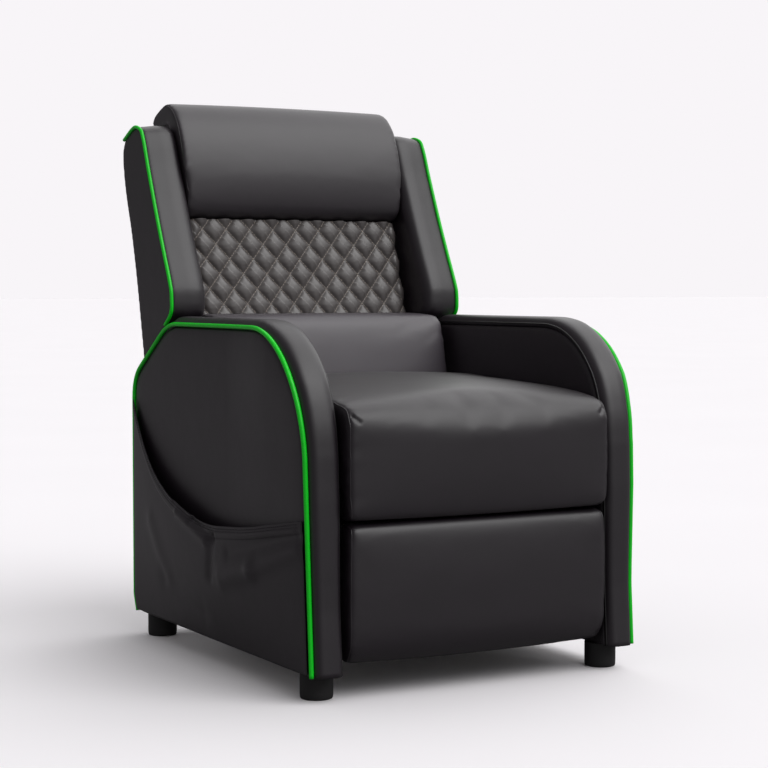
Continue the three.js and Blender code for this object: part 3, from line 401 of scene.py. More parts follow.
def puckered(piece, matrix, seam_x, reach, depth, spacing, seed):
    """Small gathers that run out from the sewn seams at both sides of a pad."""
    def gather(there):
        off = min(abs(abs(there.x) - seam_x) / reach, 1)
        turn = Vector((there.y / spacing, there.z / spacing, seed + math.copysign(9, there.x)))
        return depth * noise.noise(turn) * (1 - off) ** 2

    pushed(piece, matrix, gather)


def creased(piece, matrix, creases, side_x=None):
    """Folds along straight runs: each has two ends, a width, and a height, or minus a depth. With
    a side's x, they count as drawn on it in the side view."""
    def fold(there):
        if side_x is not None:
            there.x = side_x
        move = 0
        for start, end, width, height in creases:
            run = Vector(end) - Vector(start)
            share = clamped((there - Vector(start)).dot(run) / run.length_squared)
            off = (there - Vector(start) - run * share).length / width
            move += height * math.exp(-off ** 2) if off < 3 else 0
        return move

    pushed(piece, matrix, fold)


def soft_body(outline, stations, half_width):
    """Rings of a soft body: an outline that swells along its own normals from side to side. An
    outline point's third number is how much of the swell it takes, and a station has a share of
    the half width and a swell."""
    normals = outward(outline, True)
    rings = []
    for share, swell in stations:
        ring = []
        for point, normal in zip(outline, normals):
            there = point.xy + normal * swell * point.z
            ring.append(Vector((half_width(there) * share, there.x, there.y)))
        rings.append(ring)
    return rings


def cushion_stations(half_width, draw_in, crown):
    """Shares across a cushion: its sides are drawn in round its edges and its middle crowns."""
    steps, edge_steps, edge_share = 24, 4, 0.8
    flat = half_width - draw_in
    places = [-flat + 2 * flat * i / steps for i in range(steps + 1)]
    turns = [math.pi / 2 * i / edge_steps for i in range(1, edge_steps + 1)]
    rims = [flat + draw_in * math.sin(turn) for turn in turns]
    stations = []
    for x in [-rim for rim in reversed(rims)] + places + rims:
        past = clamped((abs(x) - flat) / draw_in)
        rise = 1 - (x / half_width) ** 2
        drawn = draw_in * edge_share * (1 - math.sqrt(1 - past ** 2))
        stations.append((x / half_width, crown * rise - drawn))
    return stations


def applied(piece):
    """Fixes what the piece's modifiers make into its mesh."""
    graph = bpy.context.evaluated_depsgraph_get()
    mesh = bpy.data.meshes.new_from_object(piece.evaluated_get(graph), depsgraph=graph)
    old = piece.data
    piece.modifiers.clear()
    piece.data = mesh
    bpy.data.meshes.remove(old)
    mesh.name = piece.name
    mesh.shade_smooth()


def remeshed(piece, voxel):
    """The same form in even squares, which cloth can stretch."""
    modifier = piece.modifiers.new("remesh", "REMESH")
    modifier.mode = "VOXEL"
    modifier.voxel_size = voxel * MM
    modifier.use_smooth_shade = True
    applied(piece)


def smoothed(piece, times):
    """Evens out a piece's vertices, some times over."""
    bm = bmesh.new()
    bm.from_mesh(piece.data)
    for _ in range(times):
        bmesh.ops.smooth_vert(
            bm, verts=bm.verts, factor=0.5, use_axis_x=True, use_axis_y=True, use_axis_z=True
        )
    bm.to_mesh(piece.data)
    bm.free()


def subdivided(piece):
    """Rounds a piece off by one subdivision."""
    modifier = piece.modifiers.new("round", "SUBSURF")
    modifier.levels = modifier.render_levels = 1
    applied(piece)


# Materials

def linear(code):
    """Linear colour of an sRGB hex value."""
    shares = [int(code[i:i + 2], 16) / 255 for i in (1, 3, 5)]
    values = [s / 12.92 if s <= 0.04045 else ((s + 0.055) / 1.055) ** 2.4 for s in shares]
    return (*values, 1)


def node(material, kind, inputs=None, **settings):
    """Adds a node with its settings, and sets or links its inputs."""
    made = material.node_tree.nodes.new(kind)
    for key, value in settings.items():
        setattr(made, key, value)
    for key, value in (inputs or {}).items():
        if isinstance(value, bpy.types.NodeSocket):
            material.node_tree.links.new(value, made.inputs[key])
        else:
            made.inputs[key].default_value = value
    return made


def new_material(name):
    """An empty material, and Object coordinates in millimetres for it."""
    material = bpy.data.materials.new(name)
    material.use_nodes = True
    material.node_tree.nodes.clear()
    coordinates = node(material, "ShaderNodeTexCoord")
    scaled = node(
        material, "ShaderNodeMapping",
        {"Vector": coordinates.outputs["Object"], "Scale": (1 / MM, 1 / MM, 1 / MM)},
    )
    return material, scaled.outputs["Vector"]


def clouds(material, place, size, detail, **more):
    """Soft noise with forms of about this many millimetres."""
    made = node(
        material, "ShaderNodeTexNoise",
        {"Vector": place, "Scale": 1 / size, "Detail": detail, **more},
    )
    return made.outputs["Fac"]


def cells(material, place, size, randomness, feature):
    """How far a place lies from the nearest of many points, this many millimetres apart."""
    made = node(
        material, "ShaderNodeTexVoronoi",
        {"Vector": place, "Scale": 1 / size, "Randomness": randomness}, feature=feature,
    )
    return made.outputs["Distance"]


def relief(material, height, strength, depth, **more):
    """The normal of a relief that is this many millimetres deep."""
    made = node(
        material, "ShaderNodeBump",
        {"Height": height, "Strength": strength, "Distance": depth * MM, **more},
    )
    return made.outputs["Normal"]


def around(material, factor, middle, spread):
    """A value that varies by this much round its middle."""
    made = node(
        material, "ShaderNodeMapRange",
        {"Value": factor, "To Min": middle - spread, "To Max": middle + spread},
    )
    return made.outputs["Result"]


def colour_between(material, factor, dark, light):
    mix = node(
        material, "ShaderNodeMix",
        {"Factor": factor, "A": linear(dark), "B": linear(light)}, data_type="RGBA",
    )
    return mix.outputs["Result"]


def surface(material, colour, roughness, normal=None, **more):
    inputs = {"Base Color": colour, "Roughness": roughness, **more}
    if normal:
        inputs["Normal"] = normal
    shader = node(
        material, "ShaderNodeBsdfPrincipled",
        {key.replace("_", " "): value for key, value in inputs.items()},
    )
    node(material, "ShaderNodeOutputMaterial", {"Surface": shader.outputs["BSDF"]})
    return material


def leatherette(name, dark, light, roughness, specular):
    """Polyurethane-coated fabric with an embossed pebble grain: a deep black with a soft, broad
    gloss that breaks up finely."""
    material, place = new_material(name)
    # The real pebbles are 0.6 mm; 1.8 mm is about a pixel of the picture
    pebbles = cells(material, place, 1.8, 1, "SMOOTH_F1")
    broad = clouds(material, place, 60, 2)
    grain = relief(material, pebbles, 0.10, 0.3)
    waves = relief(material, broad, 0.25, 2.5, Normal=grain)
    colour = colour_between(material, broad, dark, light)
    rough = around(material, clouds(material, place, 3, 4), roughness, 0.05)
    return surface(
        material, colour, rough, waves, IOR=1.5, Specular_IOR_Level=specular,
        Coat_Weight=0.9, Coat_Roughness=0.46, Coat_Normal=waves,
    )


def piping_vinyl():
    """Glossy green vinyl drawn over a cord: a saturated green with a thin pale highlight."""
    material, place = new_material("green_piping_vinyl")
    ripples = clouds(material, place, 9, 2)
    colour = colour_between(material, ripples, "#00d01c", "#00de22")
    return surface(material, colour, 0.34, relief(material, ripples, 0.3, 0.8), IOR=1.5)


def twisted_thread(name, code):
    """Bonded polyester thread: a dull strand with fine twists."""
    material, place = new_material(name)
    twist = node(
        material, "ShaderNodeTexWave", {"Vector": place, "Scale": 1 / 1.5, "Distortion": 1},
        bands_direction="DIAGONAL",
    )
    twists = relief(material, twist.outputs["Fac"], 0.4, 0.2)
    return surface(material, linear(code), 0.6, twists)


def plywood():
    """Rotary-cut plywood, unfinished: pale brown, with long stretched grain."""
    material, place = new_material("plywood")
    stretched = node(material, "ShaderNodeMapping", {"Vector": place, "Scale": (0.1, 1, 0.1)})
    grain = clouds(material, stretched.outputs["Vector"], 6, 6, Distortion=1.2)
    colour = colour_between(material, grain, "#96703f", "#cfae7c")
    return surface(material, colour, 0.72, relief(material, grain, 0.3, 0.3))


def metal(name, dark, light, roughness, metallic):
    """Steel, painted thinly or zinc-plated: an even sheen with a slight orange peel."""
    material, place = new_material(name)
    cloud = clouds(material, place, 35, 3)
    peel = relief(material, clouds(material, place, 2.5, 3), 0.2, 0.2)
    colour = colour_between(material, cloud, dark, light)
    rough = around(material, cloud, roughness, 0.08)
    return surface(material, colour, rough, peel, Metallic=metallic)


def moulded_plastic():
    """Moulded polypropylene with a fine spark-eroded texture: matt black."""
    material, place = new_material("moulded_black_plastic")
    texture = clouds(material, place, 1.6, 4)
    colour = colour_between(material, texture, "#232223", "#2c2b2c")
    pits = relief(material, texture, 0.3, 0.3)
    return surface(material, colour, 0.55, pits, IOR=1.49, Specular_IOR_Level=0.4)


def dust_cloth():
    """Spun-bonded dust cloth: dull black, with the small dimples of its bonding points."""
    material, place = new_material("spunbonded_dust_cloth")
    # The real bonding points are 1 mm apart; 3 mm shows in the picture
    dimples = relief(material, cells(material, place, 3, 0.15, "F1"), 0.5, 0.4)
    colour = colour_between(material, clouds(material, place, 2, 5), "#141415", "#262628")
    return surface(material, colour, 0.9, dimples, Specular_IOR_Level=0.2)


black_leather = leatherette("black_leatherette", "#150f15", "#1b131b", 0.49, 0.5)
# A lighter copy of the black leatherette for the headrest: painted light, for the light that falls
# on its top
painted_light_headrest_leather = leatherette("headrest_leatherette_with_painted_light", "#2a252a", "#312b31", 0.49, 0.5)
# A lighter copy still for the lumbar cushion: painted light, for the bright light that falls on it
painted_light_lumbar_leather = leatherette("lumbar_leatherette_with_painted_light", "#433d44", "#4b454c", 0.47, 0.5)
quilt_leather = leatherette("quilted_leatherette", "#4a4545", "#5a5553", 0.40, 0.6)
# A darker copy for the arms' inner welts: painted shade, for the shade that lies in that seam
shade_painted_welt_leather = leatherette("welt_leatherette", "#0f0e0f", "#151415", 0.5, 0.35)
green_vinyl = piping_vinyl()
black_thread = twisted_thread("black_polyester_thread", "#39363a")
quilt_thread = twisted_thread("taupe_polyester_thread", "#a59a90")
bare_plywood = plywood()
black_steel = metal("black_painted_steel", "#17181a", "#222326", 0.42, 0.0)
spring_wire = metal("zinc_plated_spring_wire", "#84868a", "#a4a6aa", 0.34, 1.0)
foot_plastic = moulded_plastic()
black_lining = dust_cloth()


# Padded pieces: cloth under pressure, held where the piece lies on its frame and at its seams

# Only a part of the cloth's own folds shows, as over a firm foam
BLOWN_SHARE = 0.45
CLOTH_FRAMES = 20

padded_pieces = []
seam_runs = {}


def padded_piece(
    name, shares, rearward, up, flat, stations, half_width, matrix, cap, seam_hold=0.5,
):
    """Makes a pad's form, ready to be blown up. Its cover runs through shares of its two ranges in
    the side view. Points without give are held, and the seams at both ends are held in part."""
    outline = cushion_outline([
        (rearward[0] + (rearward[1] - rearward[0]) * a, up[0] + (up[1] - up[0]) * b, give)
        for a, b, give in shares
    ], flat)
    rings = soft_body(outline, stations, half_width)
    hold = KDTree(sum(len(ring) for ring in rings))
    weights = []
    for (share, _), ring in zip(stations, rings):
        seam = seam_hold if abs(share) > 0.97 else 0
        for point, place in zip(outline, ring):
            hold.insert(matrix @ place, len(weights))
            weights.append(max(1 - point.z, seam))
    hold.balance()
    piece = finished(name, rings_mesh(rings), matrix, black_leather)
    remeshed(piece, 5.5)
    smoothed(piece, 2)
    group = piece.vertex_groups.new(name="held")
    for vert in piece.data.vertices:
        group.add([vert.index], weights[hold.find(vert.co)[1]], "REPLACE")
    padded_pieces.append((piece, cap * MM, [vert.co.copy() for vert in piece.data.vertices]))
    seam_runs[name] = [
        (point.xy, normal, half_width(point.xy))
        for point, normal in zip(outline, outward(outline, True)) if point.z > 0.05
    ]
    return piece


def side_seams(name, pad, matrix, inset, radius):
    """Raised seams round both ends of a pad, dropped onto its cover."""
    lines = []
    turn = matrix.to_3x3()
    tree = surface_tree(pad)
    for sign in (1, -1):
        places, directions = [], []
        for point, normal, half_width in seam_runs[pad.name]:
            far = point + normal * CAST_FROM
            places.append(matrix @ Vector((sign * (half_width - inset), far.x, far.y)))
            directions.append((turn @ Vector((0, -normal.x, -normal.y))).normalized())
        found = dropped(tree, places, directions, radius * 0.15)
        lines.append(smooth_through([hit for hit, _ in found], 2))
    return cords(name, lines, radius, Matrix.Identity(4), black_leather)


def blow_up():
    """Runs all the pads' cloth together, caps how far each point moves, and rounds the result."""
    scene = bpy.context.scene
    for piece, _, _ in padded_pieces:
        modifier = piece.modifiers.new("cloth", "CLOTH")
        for key, value in {
            "quality": 6, "mass": 0.3, "tension_stiffness": 15, "compression_stiffness": 15,
            "shear_stiffness": 5, "bending_stiffness": 1.5, "use_pressure": True,
            "uniform_pressure_force": 4, "vertex_group_mass": "held",
        }.items():
            setattr(modifier.settings, key, value)
        modifier.settings.effector_weights.gravity = 0
        modifier.point_cache.frame_start = 1
        modifier.point_cache.frame_end = CLOTH_FRAMES
    for number in range(1, CLOTH_FRAMES + 1):
        scene.frame_set(number)
    for piece, cap, rest in padded_pieces:
        applied(piece)
        for vert, start in zip(piece.data.vertices, rest):
            moved = vert.co - start
            if moved.length > cap:
                moved = moved.normalized() * cap
            vert.co = start + moved * BLOWN_SHARE
    scene.frame_set(1)
    for piece, _, _ in padded_pieces:
        smoothed(piece, 3)
        subdivided(piece)


def cushion_outline(points, flat):
    """A pad's outline: a smooth cover through its points, then straight lines through the
    corners of its flat rest."""
    step = 9
    cover = evenly(smooth_through([Vector(point) for point in points]), step)
    corners = [points[-1], *flat, points[0]]
    rest = []
    for start, end in zip(corners, corners[1:]):
        rest += evenly([Vector((*start[:2], 0)), Vector((*end[:2], 0))], step)[1:]
    return cover + rest[:-1]


def drawn_in(half, bottom, top, draw):
    """A half width that narrows a little towards a pad's bottom and top."""
    middle = (top + bottom) / 2
    return lambda there: half - draw * min(abs(there.y - middle) / (top - middle), 1) ** 3


def seat_cushion():
    shares = [
        (0.02, 0, 0.3), (0.002, 0.03, 0.6), (0, 0.16, 1), (0, 0.6, 1), (0.002, 0.75, 1),
        (0.022, 0.845, 1), (0.07, 0.9, 1), (0.2, 0.94, 1), (0.38, 0.965, 1), (0.7, 0.99, 1),
        (0.96, 1, 0.7), (1, 0.9, 0.4),
    ]
    lip = SEAT_LIP - SEAT_FRONT
    return padded_piece(
        "seat_pad", shares, (-SEAT_FRONT, SEAT_REAR), (SEAT_LIP_BOTTOM, SEAT_TOP),
        [(SEAT_REAR, SEAT_UNDERSIDE), (lip, SEAT_UNDERSIDE), (lip, SEAT_LIP_BOTTOM)],
        cushion_stations(SEAT_HALF, 10, 10),
        drawn_in(SEAT_HALF, SEAT_LIP_BOTTOM, SEAT_TOP, 3), CHAIR, 24,
    )


def footrest_cushion():
    shares = [
        (0, 0.026, 0), (0.3, 0, 0.3), (0.62, 0.03, 0.7), (0.92, 0.14, 1), (1, 0.36, 1),
        (1, 0.76, 1), (0.97, 0.92, 0.8), (0.84, 0.985, 0.5), (0.5, 1, 0.1), (0, 1, 0),
    ]
    return padded_piece(
        "footrest_pad", shares, (-FOOTREST_REAR, -FOOTREST_FRONT), (FOOTREST_BOTTOM, FOOTREST_TOP),
        [], cushion_stations(FOOTREST_HALF, 10, 8),
        drawn_in(FOOTREST_HALF, FOOTREST_BOTTOM, FOOTREST_TOP, 4), CHAIR, 22,
    )


def headrest_cushion():
    shares = [
        (0.725, 0, 0.3), (0.88, 0.06, 0.8), (0.982, 0.26, 1), (1, 0.44, 1), (0.963, 0.64, 1),
        (0.853, 0.82, 1), (0.688, 0.94, 1), (0.468, 1, 1), (0.356, 1, 1), (0, 0.97, 1),
        (-0.111, 0.92, 0.6),
    ]

    def half_width(there):
        """Between the wings, and a little wider in front of them and above them."""
        wing_front = WING_DEPTH * (1.06 - 0.5 * there.y / WING_TOP)
        past = max((-there.x - wing_front) / 12, (there.y - WING_TOP) / 8)
        return HEADREST_HALF + HEADREST_OVERHANG * clamped(past)

    over = BACK_COVER_TOP + TOUCH_GAP
    return padded_piece(
        "headrest_pad", shares, (0, -HEADREST_DEPTH), (HEADREST_BOTTOM, HEADREST_TOP),
        [(HEADREST_REAR, over), (-BACK_SEAT, over), (-BACK_SEAT, HEADREST_BOTTOM)],
        cushion_stations(HEADREST_HALF, 5, 3), half_width, BACK, 12, seam_hold=0.9,
    )


def lumbar_cushion():
    shares = [
        (0.689, 0, 0.3), (0.922, 0.073, 0.8), (1, 0.218, 1), (1.016, 0.5, 1), (1.008, 0.767, 1),
        (0.977, 0.862, 1), (0.907, 0.905, 0.6), (0.783, 0.942, 0.3), (0.539, 1, 0),
    ]

    def half_width(there):
        """Between the wings at its rear, and as wide as the seat at its front."""
        narrow = WING_INNER - 1
        share = clamped((-there.x - LUMBAR_SHOULDER) / LUMBAR_FLARE)
        return narrow + (LUMBAR_HALF - narrow) * share

    low = (LUMBAR_TOP + LUMBAR_DROP) * 0.145 - LUMBAR_DROP
    return padded_piece(
        "lumbar_pad", shares, (0, -LUMBAR_DEPTH), (-LUMBAR_DROP, LUMBAR_TOP),
        [(-BACK_SEAT, LUMBAR_TOP), (-BACK_SEAT, low)], cushion_stations(LUMBAR_HALF, 14, 6),
        half_width, BACK, 16,
    )


# The back's wings

def arm_slant_in_back(depth):
    """How high a wing's lower edge lies, at a depth: it follows the arm's slanted edge."""
    top, low = (
        BACK.inverted() @ CHAIR @ Vector((0, ARM_REAR - run, ARM_TOP - drop))
        for run, drop in [(ARM_SLANT_RUN, 0), (0, ARM_SLANT_DROP)]
    )
    return low.z + (top.z - low.z) * (depth + low.y) / (low.y - top.y) + WING_GAP


def wing_line(shares):
    return smooth_through([in_back(WING_DEPTH * d, WING_TOP * h) for d, h in shares])


# Shares of a wing's depth and height along its front edge, and along its padded rear
WING_EDGE = [
    (0.737, 0.067), (0.874, 0.088), (0.955, 0.113), (0.988, 0.158), (0.995, 0.21), (0.886, 0.384),
    (0.772, 0.573), (0.664, 0.781), (0.575, 0.952), (0.471, 0.987), (0.345, 1), (0.029, 0.98),
]
WING_REAR = [
    (0.029, 0.98), (-0.055, 0.945), (-0.1, 0.86), (-0.1, 0.76), (-0.075, 0.665), (-0.04, 0.567),
    (-0.01, 0.38), (0, 0.2),
]
# Shares of its width from the outer side, each with the swell of its outline there
WING_ROLL = [
    (0, -1), (0.03, -0.6), (0.08, 0.4), (0.22, 1.6), (0.42, 3.4), (0.6, 4.8), (0.75, 4.4),
    (0.87, 0.5), (0.96, -7), (1, -14),
]


def wing(name, sign):
    cover = [(*point, 1) for point in wing_line(WING_EDGE) + wing_line(WING_REAR)[1:]]
    low = [in_back(WING_DEPTH * s, arm_slant_in_back(WING_DEPTH * s)) for s in (0, 0.35, 0.7)]
    stations = [
        (sign * (WING_OUTER - (WING_OUTER - WING_INNER) * station.x), station.y)
        for station in evenly(smooth_through([Vector(roll) for roll in WING_ROLL]), 0.8)
    ]
    rings = soft_body(cushion_outline(cover, low), stations, lambda there: 1)
    piece = finished(name, rings_mesh(rings), BACK, black_leather)
    remeshed(piece, 4)
    smoothed(piece, 2)
    return piece


# Arms

# Heights, and how far the arm stands out there at its front
SHOULDER = [
    (150, 0), (190, 0.9), (325, 4.5), (410, 5.4), (465, 8.1), (515, 11.7), (560, 12.6),
    (660, 12.6),
]
SHOULDER_REAR = -60
SHOULDER_RUN = 170
# It goes forward this many times as far as outward
SHOULDER_FORWARD = 2


def arm_edge(step=9):
    """The arm's edge from the bottom of its front, over the top, to the bottom of its rear."""
    toe = side(-ARM_FRONT - ARM_TOE, ARM_BOTTOM)
    front_top = side(-ARM_FRONT, ARM_TOP - ARM_CURVE_DROP)
    top_front = side(ARM_CURVE_RUN - ARM_FRONT, ARM_TOP)
    slant_top = side(ARM_REAR - ARM_SLANT_RUN, ARM_TOP)
    slant_bottom = side(ARM_REAR, ARM_TOP - ARM_SLANT_DROP)
    slant = (slant_bottom - slant_top).normalized() * ARM_SLANT_ROUNDING
    handle = 0.51
    line = [toe]
    line += interpolate_bezier(
        front_top, front_top + Vector((ARM_TOE, ARM_CURVE_DROP)) * handle,
        top_front - Vector((ARM_CURVE_RUN * handle, 0)), top_front, 24,
    )
    for before, corner, after in [
        (slant_top - Vector((ARM_SLANT_ROUNDING, 0)), slant_top, slant_top + slant),
        (slant_bottom - slant, slant_bottom, slant_bottom - Vector((0, ARM_SLANT_ROUNDING))),
    ]:
        line += interpolate_bezier(
            before, before.lerp(corner, 2 / 3), after.lerp(corner, 2 / 3), after, 8,
        )
    line.append(side(ARM_REAR, ARM_BOTTOM + ARM_HEEL_RISE))
    line.append(side(ARM_REAR - ARM_HEEL_RUN, ARM_BOTTOM))
    return evenly([point.to_3d() for point in line], step)


def arm_line(edge, distance):
    """The arm's edge moved out by a distance, cut off at the arm's bottom."""
    line = []
    for point, normal in zip(edge, outward(edge, False)):
        moved = point.xy + normal * distance
        line.append(side(moved.x, max(moved.y, ARM_BOTTOM)))
    line[0].y = line[-1].y = ARM_BOTTOM
    return line


def shoulder_out(rearward, up):
    """How far an arm stands out at its front shoulder."""
    front = clamped((SHOULDER_REAR - rearward) / SHOULDER_RUN)
    for (low, start), (high, end) in zip(SHOULDER, SHOULDER[1:]):
        if low <= up <= high:
            out = start + (end - start) * (up - low) / (high - low)
            return out * front * front * (3 - 2 * front)
    return 0


def with_shoulder(piece):
    """Draws an arm's piece forward, and outward on its outer side, at the front shoulder."""
    into = CHAIR.inverted()
    for vert in piece.data.vertices:
        there = into @ vert.co
        out = shoulder_out(there.y, there.z)
        if out:
            share = (abs(there.x) - ARM_INNER) / (ARM_OUTER - ARM_INNER)
            there.x += math.copysign(out * clamped(share), there.x)
            there.y -= SHOULDER_FORWARD * out
            vert.co = CHAIR @ there
    return piece


def arm_side_cover(name, sign, inside, outside, crown):
    """A thin upholstered panel over the arm's board, from its inside to its outside: full in its
    middle and pulled flat at its sewn edge."""
    line = arm_line(arm_edge(), -ARM_PIPING - TOUCH_GAP)
    rings = [[Vector((sign * x, point.x, point.y)) for point in line] for x in (inside, outside)]
    piece = finished(name, rings_mesh(rings), CHAIR, black_leather)
    remeshed(piece, 4.5)
    smoothed(piece, 1)
    rim = KDTree(len(line))
    for index, point in enumerate(line[:-1]):
        rim.insert((0, point.x, point.y), index)
    rim.balance()
    into = CHAIR.inverted()
    for vert in piece.data.vertices:
        there = into @ vert.co
        if abs(abs(there.x) - outside) <= 2.5:
            distance = rim.find((0, there.y, there.z))[2]
            vert.co.x += sign * crown * (1 - math.exp(-distance / SIDE_FILL_RUN)) * MM
    return with_shoulder(piece)


def arm_top_cover(name, sign):
    """The strip that follows the arm's edge between its two side covers, with a soft crown, which
    flattens where the wing passes over the slant."""
    from_x = ARM_INNER + 2
    to_x = ARM_OUTER - ARM_PIPING - TOUCH_GAP
    edge = arm_edge(7)
    normals = outward(edge, False)
    under = arm_line(edge, -ARM_PIPING)
    across = [-1, -0.97, -0.9, -0.8, -0.65, -0.45, -0.22, 0, 0.22, 0.45, 0.65, 0.8, 0.9, 0.97, 1]
    lines = [(from_x, under)]
    for share in across:
        crown = ARM_CROWN * (1 - abs(share) ** 5)
        line = []
        for point, normal in zip(edge, normals):
            full = clamped((ARM_REAR - ARM_SLANT_RUN - point.x) / CROWN_FADE + 0.5)
            moved = point.xy + normal * (1 + crown * (SLANT_CROWN + (1 - SLANT_CROWN) * full))
            line.append(side(moved.x, max(moved.y, ARM_BOTTOM)))
        line[0].y = line[-1].y = ARM_BOTTOM
        lines.append((from_x + (to_x - from_x) * (share + 1) / 2, line))
    lines.append((to_x, under))
    rings = [
        [Vector((sign * x, line[i].x, line[i].y)) for x, line in lines] for i in range(len(edge))
    ]
    return with_shoulder(finished(name, rings_mesh(rings), CHAIR, black_leather))


def trim(name, x, line, radius, matrix, material):
    """A cord along a side-view line."""
    return cords(name, [[(x, point.x, point.y) for point in line]], radius, matrix, material)


# Side pocket

pocket_hem_line = smooth_through([side(*point) for point in POCKET_HEM])


def pocket_hem(rearward):
    """How high the pocket's edge lies, this far to the rear."""
    for before, after in zip(pocket_hem_line, pocket_hem_line[1:]):
        if after.x <= rearward <= before.x:
            share = (before.x - rearward) / (before.x - after.x)
            return before.y + (after.y - before.y) * share
    return pocket_hem_line[0].y if rearward > 0 else pocket_hem_line[-1].y


def pocket_place(share, up):
    """A place on the pocket's sheet, from its rear edge and its bottom edge. Its sides are sewn
    into the arm's seams, its middle stands out, and its hem is a doubled band."""
    height = POCKET_BOTTOM + 200 * up
    for _ in range(3):
        rise = height - ARM_BOTTOM
        toe = ARM_TOE * (1 - rise / (ARM_TOP - ARM_CURVE_DROP - ARM_BOTTOM))
        heel = ARM_HEEL_RUN * max(1 - rise / ARM_HEEL_RISE, 0)
        front = POCKET_INSET - ARM_FRONT - toe
        rear = ARM_REAR - heel - POCKET_INSET
        along = rear + (front - rear) * share
        height = POCKET_BOTTOM + (pocket_hem(along) - POCKET_BOTTOM) * up
    puff = math.sin(math.pi * share) ** 0.8 * math.sin(math.pi / 2 * min(up / 0.85, 1))
    below = pocket_hem(along) - height
    out = ARM_OUTER + POCKET_OFF + POCKET_BULGE * puff
    out += HEM_RISE * clamped((POCKET_HEM_BAND - below) / 2)
    for row in POCKET_STITCH_ROWS:
        out -= STITCH_SINK * math.exp(-((below - row) / STITCH_REACH) ** 2)
    return Vector((-out, along, height))


def side_pocket():
    bm = bmesh.new()
    bmesh.ops.create_grid(bm, x_segments=240, y_segments=110, size=0.5)
    for vert in bm.verts:
        vert.co = pocket_place(vert.co.x + 0.5, 1 - (0.5 - vert.co.y) ** 1.3)
    piece = finished("side_pocket_sheet", bm, CHAIR, black_leather)
    outer = -ARM_OUTER - POCKET_BULGE
    creased(piece, CHAIR, [
        ((outer, *start), (outer, *end), width, height)
        for start, end, width, height in POCKET_FOLDS
    ], outer)
    with_shoulder(piece)
    modifier = piece.modifiers.new("thickness", "SOLIDIFY")
    modifier.thickness = POCKET_THICKNESS * MM
    modifier.offset = 0
    return piece


def pocket_stitches(pocket):
    """Two rows of stitches along the pocket's hem."""
    hem = [pocket_place(step / 240, 1) for step in range(2, 239)]
    rows = [
        [CHAIR @ Vector((-ARM_OUTER - CAST_FROM, place.y, place.z - below)) for place in hem]
        for below in POCKET_STITCH_ROWS
    ]
    return stitches(
        "pocket_hem_stitches", pocket, rows, Vector((1, 0, 0)), POCKET_THICKNESS / 2, 4, 2, 0.55,
        black_thread,
    )


# Quilted panel

def quilt_depth(height):
    share = (height - QUILT_BOTTOM) / (QUILT_TOP - QUILT_BOTTOM)
    return QUILT_BOTTOM_DEPTH + (QUILT_TOP_DEPTH - QUILT_BOTTOM_DEPTH) * share


def diamond_shares(x, height):
    """How far a place lies from the quilting lines that fall and that rise to +X, in spacings."""
    across = x / DIAMOND_WIDTH
    up = (height - DIAMOND_START) / DIAMOND_HEIGHT
    falling, rising = across + up, across - up
    return falling - round(falling), rising - round(rising)


def quilted_panel():
    """Diamonds stitched through soft wadding: each line is a narrow groove, and the leather
    between gathers a little towards the lower side of its diamond."""
    spacing = DIAMOND_WIDTH * DIAMOND_HEIGHT / math.hypot(DIAMOND_WIDTH, DIAMOND_HEIGHT)

    def place(across, up):
        x = across * 2 * QUILT_HALF
        height = QUILT_BOTTOM + (up + 0.5) * (QUILT_TOP - QUILT_BOTTOM)
        falling, rising = diamond_shares(x, height)
        off_falling, off_rising = abs(falling) * spacing, abs(rising) * spacing
        fill = 1 - math.exp(-off_falling / FALLING_GROOVE)
        fill *= 1 - math.exp(-off_rising / RISING_GROOVE)
        fill *= 1 + DIAMOND_LEAN * math.copysign(min(abs(falling) * 2, 1), falling)
        pleats = noise.noise(Vector((x / 15, height / 3.4, 5)))
        gather = 0.9 * max(0, 1 - min(off_falling, off_rising) / 13) * fill
        side_drop = 9 * max(0, (abs(x) - QUILT_HALF + QUILT_EDGE) / QUILT_EDGE) ** 2
        rise = QUILT_FILL * fill + gather * pleats - side_drop
        return Vector((x, QUILT_FILL - quilt_depth(height) - rise, height))

    bm = sheet_pad(300, 128, place, -BACK_SEAT)
    return finished("quilt_pad", bm, BACK, quilt_leather, sharp=70)


def quilt_stitches(pad):
    """The thread along both sets of quilting lines."""
    rows = []
    for sign in (1, -1):
        for number in range(-10, 11):
            places = []
            for step in range(0, 97):
                height = QUILT_BOTTOM + 3 + (QUILT_TOP - QUILT_BOTTOM - 6) * step / 96
                up = (height - DIAMOND_START) / DIAMOND_HEIGHT
                x = (number - sign * up) * DIAMOND_WIDTH
                if abs(x) < QUILT_HALF - 5:
                    places.append(BACK @ Vector((x, -QUILT_BOTTOM_DEPTH - CAST_FROM, height)))
            if len(places) > 4:
                rows.append(places)
    return stitches("quilt_stitches", pad, rows, REARWARD, 0.25, 4.6, 1.8, 0.6, quilt_thread)


# The back's rear cover

def back_cover():
    """A thin pad over the back of the frame, drawn in at its sewn edges, with a skirt that closes
    it below."""
    half = WING_INNER - TOUCH_GAP

    def place(across, up):
        x = across * 2 * half
        height = BACK_COVER_BOTTOM + (up + 0.5) * (BACK_COVER_TOP - BACK_COVER_BOTTOM)
        edge = min(half - abs(x), BACK_COVER_TOP - height, height - BACK_COVER_BOTTOM)
        puff = 1 - math.exp(-edge / BACK_FILL_RUN)
        skirt = math.exp(-((height - BACK_COVER_BOTTOM - BACK_SKIRT) / 2.5) ** 2)
        wave = noise.noise(Vector((x / 70, height / 110, 2)))
        fill = (BACK_FILL + BACK_WAVE * wave) * puff
        return Vector((x, 0.5 + fill - SKIRT_GROOVE * skirt, height))

    bm = sheet_pad(110, 160, place, -BACK_COVER_THICKNESS)
    return finished("back_cover_pad", bm, BACK, black_leather, sharp=60)


